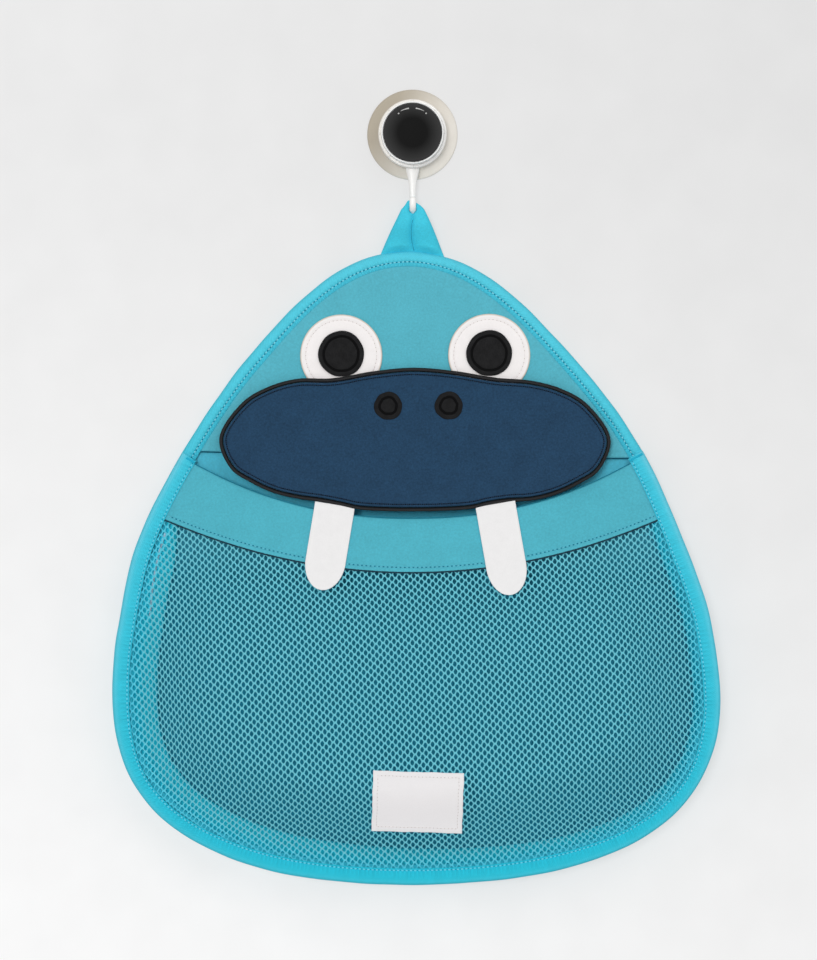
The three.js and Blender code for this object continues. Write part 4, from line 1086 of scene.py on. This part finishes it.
def hand_cut(count):
    """A small ripple once round a black patch."""
    return waves(np.linspace(0, 3, count, endpoint=False), 1, HAND_CUT, seed=21)


def black_patch(node, x, z, radius, seam, surface, finish, body, count):
    """A black felt disc with a dark seam drawn down into it, a near-black cord of painted shade in the
    groove.
    """
    mesh = patch(circle(x, z, radius + hand_cut(count), count), dished(radius, seam, 0.15, 0.9), surface)
    make_object(f"{node}_felt", mesh, finish, body, node)
    ring = laid(surface, circle(x, z, seam + hand_cut(120), 120), SEAM_SINK - PATCH_THICK)
    make_object(f"{node}_seam", tube(ring, *PATCH_CORD, True), BLACK_PAINTED_SHADE, body)


def eye(side, end):
    x = side * EYE_SPREAD + EYE_SHIFT
    drop, radius, seam = EYE
    mesh = patch(circle(x, height_at(drop), radius, 128), dished(radius, seam, 0, 0.35), flat(EYE_BACK))
    make_object(f"eye_{end}_felt", mesh, EYE_FELT, "bag", f"eye_{end}")
    ring = space(circle(x, height_at(drop), seam, 120), EYE_BACK - PATCH_THICK + EYE_SEAM_SINK)
    sew(f"eye_{end}", ring, (WHITE_THREAD, WHITE_HOLE), "bag", pitch=EYE_PITCH,
        radius=FINE_STITCH, closed=True)
    drop, radius, seam = PUPIL
    black_patch(f"pupil_{end}", x, height_at(drop), radius, seam, flat(PUPIL_BACK), PUPIL_FELT, "bag", 112)


def catmull_rom(points, count):
    """A smooth closed line through points, by centripetal spacing."""
    points = np.array(points, float)
    pieces = []
    for k in range(len(points)):
        p = np.roll(points, 1 - k, 0)[:4]
        t = np.concatenate([[0], np.cumsum(np.linalg.norm(np.diff(p, axis=0), axis=1) ** 0.5)])
        s = np.linspace(t[1], t[2], count, endpoint=False)[:, None]

        def between(i, j, a, b):
            return ((t[j] - s) * a + (s - t[i]) * b) / (t[j] - t[i])

        a1, a2, a3 = (between(i, i + 1, p[i], p[i + 1]) for i in range(3))
        pieces.append(between(1, 2, between(0, 2, a1, a2), between(1, 3, a2, a3)))
    line = np.concatenate(pieces)
    return Line(np.concatenate([line, line[:1]]))


MUZZLE_TOP = height_at(MUZZLE_DROP)


def make_muzzle():
    right = [
        (0, 0), (0.2, 0.022), (0.42, 0.072), (0.6, 0.094), (0.75, 0.15), (0.88, 0.255), (1, 0.505),
        (0.94, 0.72), (0.84, 0.813), (0.72, 0.888), (0.6, 0.928), (0.48, 0.938), (0.38, 0.957),
        (0.29, 0.984), (0.13, 0.998), (0, 1),
    ]
    left = [(-x, z - MUZZLE_LIFT * smooth((x - 0.4) / 0.2)) for x, z in right[-2:0:-1]]
    right = [(x * MUZZLE_REACH, z) for x, z in right]
    wide, tall = MUZZLE_SIZE
    return catmull_rom([(x * wide / 2, MUZZLE_TOP - z * tall) for x, z in right + left], 18)


MUZZLE = make_muzzle()


def muzzle_middle(plane):
    down = np.clip((MUZZLE_TOP - plane[..., 1]) / MUZZLE_SIZE[1], 0, 1)
    return MUZZLE_SEAT - MUZZLE_LEAN * down**1.5 * (1 - 0.15 * (2 * plane[..., 0] / MUZZLE_SIZE[0]) ** 2)


def muzzle():
    u = np.linspace(0, 1, 260, endpoint=False)
    thick = 0.4 - MUZZLE_FRONT
    profile = [(0, 0.9), (0.2, thick - 0.75), (0.6, thick - 0.25), (1.0, thick - 0.1)]
    for step, rise in ((-0.4, -0.35), (0, -0.55), (0.5, -0.3), (1.6, 0), (3.2, 0.2)):
        profile.append((MUZZLE_SEAM + step, thick + rise))
    mesh = patch(MUZZLE.inset(u, MUZZLE_EDGE), profile, lambda plane: muzzle_middle(plane) + 0.1,
                 np.linspace(0.05, 0.95, 16), 0.5)
    piece = make_object("muzzle_panel_cloth", mesh, NAVY, "muzzle", "muzzle_panel",
                        crease=60)
    lining = MUZZLE.inset(u, MUZZLE_EDGE + 0.2)
    mesh = patch(lining, rounded_edge(1.2, 0.5), lambda plane: muzzle_middle(plane) + LINING_BACK)
    piece = make_object("muzzle_lining_cloth", mesh, NAVY, "muzzle", "muzzle_lining")
    line = laid(muzzle_middle, MUZZLE.inset(u, MUZZLE_EDGE + MUZZLE_SEAM), 0.6 - thick)
    sew("muzzle", line, (NAVY_THREAD, BLACK_PAINTED_SHADE), "muzzle", radius=0.5, closed=True)


def piping():
    turn = turns(14)
    around = np.linspace(0, 1, 420, endpoint=False)[:, None]
    plane = MUZZLE.inset(around, PIPING_RADIUS * (1 + np.cos(turn)))
    mesh = loft(laid(muzzle_middle, plane, PIPING_RADIUS * np.sin(turn)), True)
    make_object("muzzle_piping_cord", mesh, BLACK_CORD, "muzzle", "muzzle_piping")


def nostril(side, end):
    spread, below, radius, seam = NOSTRIL
    black_patch(f"nostril_{end}", side * spread + NOSTRIL_SHIFT, MUZZLE_TOP - below, radius, seam,
                lambda plane: muzzle_middle(plane) + MUZZLE_FRONT - NOSTRIL_LIFT, BLACK_FELT, "muzzle", 88)


def tusk(side, end):
    wide, tall, tip = TUSK_SIZE
    aside, longer = TUSK_STRAY[end]
    tall += longer + TUSK_TUCK
    lean = math.radians(TUSK_LEAN)
    down = np.array([math.sin(lean), -math.cos(lean)])
    across = np.array([math.cos(lean), math.sin(lean)])
    top = np.array([TUSK_SPREAD, TUSK_TOP]) - down * TUSK_TUCK
    straight, half = tall - tip, wide / 2
    run = np.linspace(0, straight, 22)[:-1]
    turn = np.linspace(math.pi, 0, 44)
    local = np.concatenate([
        paired(-half, run), paired(half * np.cos(turn), straight + tip * np.sin(turn)),
        paired(half, run[::-1]), paired(np.linspace(half, -half, 20)[1:-1], 0),
    ])
    loop = (top + local[:, :1] * across + local[:, 1:] * down) * [side, 1] + [aside, 0]
    mesh = patch(loop, rounded_edge(TUSK_THICK, 0.55),
                 lambda plane: pocket_front(plane) + BAND_FRONT - TUSK_LIFT, np.linspace(0.1, 0.9, 9))
    piece = make_object(f"tusk_{end}_felt", mesh, WHITE_FELT, f"tusk_{end}", f"tusk_{end}")


# Hanging loop: a folded tape whose two puffed legs meet in a crease below the hook
LOOP_CROWN = HOOK_PIVOT + LOOP_HOLE + LOOP_WALL
LOOP_FORK = HOOK_PIVOT - HOOK_BAR - HOOK_CROOK


def loop_edge(foot):
    """Half the loop's edge: a nearly straight side, a kinked shoulder and the crown over the hook."""
    base = np.array([LOOP_BASE / 2, foot])
    kink = np.array([LOOP_KINK[0], LOOP_CROWN - LOOP_KINK[1]])
    share = np.linspace(0, 1, 60)[:-1, None]
    side = mix(base, kink, share) + np.array([LOOP_BOW, 0]) * np.sin(math.pi * share)
    return np.concatenate([side, bezier([kink, kink + [-1.7, 1.9], (3.3, LOOP_CROWN), (0, LOOP_CROWN)], 30)])


def loop_crease(z):
    """How far down the crease a height lies, and how far aside the crease is there."""
    sunk = np.clip((LOOP_FORK - z) / (LOOP_FORK - height_at(0)), 0, 1)
    return sunk, 1.6 * sunk**2 - 1.1 * np.sin(math.pi * sunk) + LOOP_LEAN * sunk


def loop_middle(z):
    return mix(HOOK_MIDDLE, LOOP_FOOT, smooth((LOOP_FORK - z) / (LOOP_FORK - height_at(0))))


def loop_half(outer, columns, foot, side):
    """The front and back points of one leg, row by row."""
    share = np.linspace(0, 1, columns)
    px, pz = outer.T[..., None]
    opening = np.sqrt(np.maximum(LOOP_EYE**2 - (pz - HOOK_PIVOT) ** 2, 0))
    sunk, crease = loop_crease(pz)
    x = mix(crease + side * np.minimum(opening, px), side * px + LOOP_LEAN * sunk, share)
    z = np.where(pz < height_at(0) + 4, np.maximum(pz, foot(x)), pz)
    z = z + LOOP_PEAK_RISE * hump(x, *LOOP_PEAK) * smooth((pz - LOOP_CROWN + 4) / 4)
    full = smooth((LOOP_CROWN - pz) / 14) * (1 + 1.1 * sunk) * smooth((z - foot(x) - 0.3) / 5.5)
    puff = LOOP_PUFF * full * np.sin(math.pi * share) ** 0.6
    half_thick = LOOP_THICK / 2 * np.sqrt(np.clip(1 - (2 * share - 1) ** 6, 0.08, 1))
    lifts = (-half_thick - puff, half_thick + 0.3 * puff)
    return np.concatenate([np.stack([x, loop_middle(z) + lift, z], -1).reshape(-1, 3) for lift in lifts])


def hanging_loop():
    top_edge = OUTLINE.at(np.linspace(-0.1, 0.1, 1200))

    def foot(x):
        return np.interp(x, top_edge[:, 0], top_edge[:, 1]) - 1.5

    outer = loop_edge(foot(LOOP_BASE / 2))
    rows, columns = len(outer), 19
    layer = rows * columns
    meets = np.abs(outer[:, 1] - HOOK_PIVOT) >= LOOP_EYE
    shell = grid_faces(rows, columns)
    shell += [[k + layer for k in face[::-1]] for face in shell]
    for i in range(rows - 1):
        for k, order in ((0, 1), (columns - 1, -1)):
            if k or not (meets[i] and meets[i + 1]):
                a, b = i * columns + k, (i + 1) * columns + k
                shell.append([a, b, b + layer, a + layer][::order])
    shell += [[k, k + layer, k + 1 + layer, k + 1] for k in range(columns - 1)]
    left, right = (loop_half(outer, columns, foot, side) for side in (-1, 1))
    mesh = facing_out(*joined([(left, shell), (right, [face[::-1] for face in shell])]))
    piece = make_object("hanging_loop_tape", mesh, LOOP_CYAN, None, "hanging_loop",
                        crease=60)
    weld(piece)
    # The crease is a dark cord of painted shade where the two legs meet
    z = np.linspace(LOOP_FORK - 0.5, height_at(0) + 0.5, 40)
    crease = tube(np.stack([loop_crease(z)[1], loop_middle(z) - CREASE_RISE, z], -1), *CREASE_CORD)
    fold = make_object("hanging_loop_crease", crease, CYAN_HOLE, None)
    for part in (piece, fold):
        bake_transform(part)


def weld(piece, reach=1e-6):
    made = bmesh.new()
    made.from_mesh(piece.data)
    bmesh.ops.remove_doubles(made, verts=made.verts, dist=reach)
    bmesh.ops.dissolve_degenerate(made, edges=made.edges, dist=reach)
    bmesh.ops.recalc_face_normals(made, faces=made.faces)
    made.to_mesh(piece.data)
    made.free()


# Suction hook: profiles of radius and depth
def soft_edges(piece, width, segments):
    bevel = piece.modifiers.new("soft_edges", "BEVEL")
    bevel.width = width * MM
    bevel.segments = segments
    bevel.limit_method = "ANGLE"
    bevel.angle_limit = math.radians(35)


def suction_cup():
    boss = [(0.02, -5.4), (6.3, -5.4), (6.3, -7.0), (3.3, -7.0), (3.3, -10.9), (8.3, -10.9), (8.6, -10.6)]
    web = [(8.6, -8.1), (12, -8.1)]
    cone = bezier([(20.9, -5.3), (24, -4.4), (26.6, -2.9), (28.4, -2.2)], 14)
    rim = [(29.3, -1.9), (29.8, -1.4), (30, -0.8), (29.95, -0.15), (29.5, 0)]
    hollow = bezier([(26.5, 0), (20, -1.4), (10, -3.2), (0.02, -3.2)], 14)
    mesh = lathe([*boss, *web, *cone, *rim, *hollow])
    make_object("suction_cup_vinyl", mesh, IVORY, "wall_hook", "suction_cup")


def hook_arm():
    """The arm and its J: stations of depth, height, half width and tilt."""
    bottom = HOOK_PIVOT + HOOK_CROOK
    taper = ((-21.75, 4.35), (-24.3, 4.35), (-27, 3.7), (-30.4, 2.85), (-36, 2.3), (-41, 2.0))
    stations = [(-HOOK_STANDOFF, z, wide, 0.0) for z, wide in taper]
    for turn in np.linspace(0, math.pi, 21):
        stations.append((HOOK_MIDDLE + HOOK_CROOK * math.cos(turn), bottom - HOOK_CROOK * math.sin(turn),
                         mix(HOOK_BAR, HOOK_TIP, turn / math.pi), turn))
    for share in np.linspace(0, 1, 6):
        stations.append((HOOK_MIDDLE - HOOK_CROOK, bottom + mix(HOOK_TIP_RISE - 1.9, HOOK_TIP_RISE, share),
                         HOOK_TIP * math.sqrt(max(1 - (share * 0.95) ** 2, 0.05)), math.pi))
    across, out = (np.sign(c) * np.abs(c) ** 0.75 for c in circle(0, 0, 1, 20).T)
    rings = []
    for depth, z, wide, tilt in stations:
        thick = min(wide, HOOK_BAR) * out
        plane = paired(wide * across, z - thick * math.sin(tilt))
        rings.append(space(plane, depth + thick * math.cos(tilt)))
    return loft(rings)


def hook_bracket():
    collar = lathe([
        (8.9, -8.4), (20.9, -8.4), (20.9, -5.92), (22.6, -5.92), (22.6, -16.4), (22.1, COLLAR_FRONT),
        (20.68, COLLAR_FRONT), (20.68, -15.6), (20.9, -15.2), (20.9, -10.9), (8.9, -10.9),
    ])
    bump, faces = lathe([(0.02, -0.5), (0.5, -0.45), (0.7, 0), (0.5, 0.45), (0.02, 0.5)], 10)
    detents = [(bump + spot, faces) for spot in space(circle(0, 0, DETENT_RING, 8), COLLAR_FRONT)]
    piece = make_object("hook_bracket_moulding", joined([collar, hook_arm(), *detents]), BRACKET_PLASTIC,
                        "wall_hook", "hook_bracket")
    soft_edges(piece, 0.35, 3)


def lock_knob():
    shell = lathe([
        (3.3, -12.7), (9, -12.7), (9, -24.6), (19, -24.6), (19, -11.2), (20.6, -11.2), (20.6, -26.2),
        (20.5, -26.7), (20.3, -27.0), (20.05, -27.15), (19.7, -27.05), (19.5, -26.0), (5.5, -26.0),
        (5.5, -19.3), (3.3, -19.3),
    ], KNOB_SIDES)
    dome = [(INLAY_RADIUS * t, INLAY_EDGE - (1 - t * t)) for t in np.linspace(1, 0.001, 16)]
    inlay = lathe([(0.02, -26.3), (INLAY_RADIUS, -26.3), *dome], KNOB_SIDES)
    for node, mesh, finish, slot, edge in (
        ("lock_knob", shell, WHITE_PLASTIC, "white_plastic", 0.2),
        ("knob_inlay", inlay, DARK_PLASTIC, "dark_plastic", 0.25),
    ):
        piece = make_object(f"{node}_moulding", mesh, finish, "lock_knob", node)
        soft_edges(piece, edge, 2)


def knob_marks():
    """Printed turn marks: a dot and a tapered arc each way from the top."""
    reach, dot_radius, count = 15.4, 0.5, 14

    def on_dome(radius, turn):
        depth = INLAY_EDGE - (1 - (radius / INLAY_RADIUS) ** 2) - 0.03
        return np.stack([radius * np.sin(turn), depth, radius * np.cos(turn)], -1)

    around, share = turns(count), np.linspace(0, 1, count)
    wide = mix(0.45, 0.12, share)
    parts = []
    for side in (-1, 1):
        turn = math.radians(36) * side + dot_radius / reach * np.cos(around)
        parts.append((on_dome(reach + dot_radius * np.sin(around), turn), [list(range(count))]))
        turn = np.radians(mix(8, 29, share)) * side
        arc = [on_dome(reach + 0.6 + half, turn) for half in (wide, -wide)]
        parts.append((np.concatenate(arc), grid_faces(2, count)))
    points, faces = joined(parts)
    for k, (a, b, c, *_) in enumerate(faces):
        if np.cross(points[b] - points[a], points[c] - points[a])[1] >= 0:
            faces[k] = faces[k][::-1]
    piece = make_object("knob_marks", (points, faces), PRINT, "lock_knob")
    layer = piece.modifiers.new("print_film", "SOLIDIFY")
    layer.thickness = 0.06 * MM


def hidden_steel():
    for name in ("cup_stud", "thrust_washer", "stud_clip"):
        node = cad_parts[name]
        node.data.materials.clear()
        node.data.materials.append(STEEL)


# Studio
def studio():
    scene = bpy.context.scene
    scene.view_settings.view_transform = "Standard"
    world = bpy.data.worlds.new("studio")
    world.use_nodes = True
    sky = world.node_tree.nodes["Background"]
    sky.inputs["Color"].default_value = (1, 1, 1, 1)
    sky.inputs["Strength"].default_value = SKY_STRENGTH
    scene.world = world
    for name, strength, spread, turn in (
        ("front", 1.1, 14, (85, 0, -9)), ("key", 0.45, 40, (58, 0, 22)), ("rim", 0.6, 40, (60, 0, 180)),
    ):
        lamp = bpy.data.lights.new(name, "SUN")
        lamp.energy = strength
        lamp.angle = math.radians(spread)
        sun = bpy.data.objects.new(name, lamp)
        sun.rotation_euler = [math.radians(t) for t in turn]
        scene.collection.objects.link(sun)


def pale_wall():
    """A pale paint that glows a little to the camera and is clear from behind, with painted shade to the
    right and toward the top.
    """
    made = Finish("pale_wall", 0.9)
    tone = made.ramp(made.noise(40, 2), (0.3, linear(249, 249, 249)), (0.7, linear(252, 252, 252)))
    # Painted shade: the wall darkens to the right and toward the top
    tone = made.tint(tone, made.along((1, 0, 0), -270, 270), (0, 1), (1, 0.92))
    tone = made.tint(tone, made.along((0, 0, 1), -560, 0), (0, 1), (1, 0.87))
    made.put(made.shader.inputs["Base Color"], tone)
    path = made.node("ShaderNodeLightPath").outputs
    seen = made.math("MAXIMUM", path["Is Camera Ray"], path["Is Glossy Ray"])
    glow = made.math("MULTIPLY", made.math("MAXIMUM", seen, path["Is Transmission Ray"]), WALL_GLOW)
    light = made.node("ShaderNodeEmission", {"Color": tone}).outputs[0]
    lit = made.node("ShaderNodeMixShader", {0: glow, 1: made.shader.outputs[0], 2: light}).outputs[0]
    behind = made.node("ShaderNodeNewGeometry").outputs["Backfacing"]
    clear = made.node("ShaderNodeBsdfTransparent").outputs[0]
    chosen = made.node("ShaderNodeMixShader", {0: behind, 1: lit, 2: clear}).outputs[0]
    made.put(made.tree.nodes["Material Output"].inputs["Surface"], chosen)
    return made.material


def backdrop():
    """A plain pale wall that shows from the front only, and a pale floor far below."""
    paint = pale_wall()
    wide, top, floor, gap = 3.0, 1.5, -1.1, 0.0004
    wall = [(-wide, gap, floor), (wide, gap, floor), (wide, gap, top), (-wide, gap, top)]
    ground = [(-wide, -wide, floor), (wide, -wide, floor), (wide, wide, floor), (-wide, wide, floor)]
    for name, points in (("wall", wall), ("floor", ground)):
        mesh = bpy.data.meshes.new(name)
        mesh.from_pydata(points, [], [(0, 1, 2, 3)])
        mesh.materials.append(paint)
        plane = bpy.data.objects.new(name, mesh)
        bpy.context.scene.collection.objects.link(plane)
        plane.visible_shadow = False
        plane.visible_diffuse = False


def camera():
    lens = bpy.data.cameras.new("camera")
    lens.sensor_width = 36
    lens.lens = lens.sensor_width * CAMERA_DISTANCE / (PHOTO_HEIGHT * PHOTO_SCALE * MM)
    lens.clip_end = 20
    seen = bpy.data.objects.new("camera", lens)
    x, z = PHOTO_CENTRE
    seen.location = (x * MM, PHOTO_PLANE * MM - CAMERA_DISTANCE, z * MM)
    seen.rotation_euler = (math.radians(90), math.radians(PHOTO_ROLL), 0)
    bpy.context.scene.collection.objects.link(seen)
    bpy.context.scene.camera = seen


camera()
studio()
backdrop()
back_panel()
face_panel()
back_binding()
pocket_gusset()
gusset_fold_highlight()
pocket_binding()
pocket_band()
mesh_pocket()
label()
muzzle()
piping()
for side, end in ((-1, "left"), (1, "right")):
    eye(side, end)
    nostril(side, end)
    tusk(side, end)
suction_cup()
hook_bracket()
lock_knob()
knob_marks()
hanging_loop()
hidden_steel()
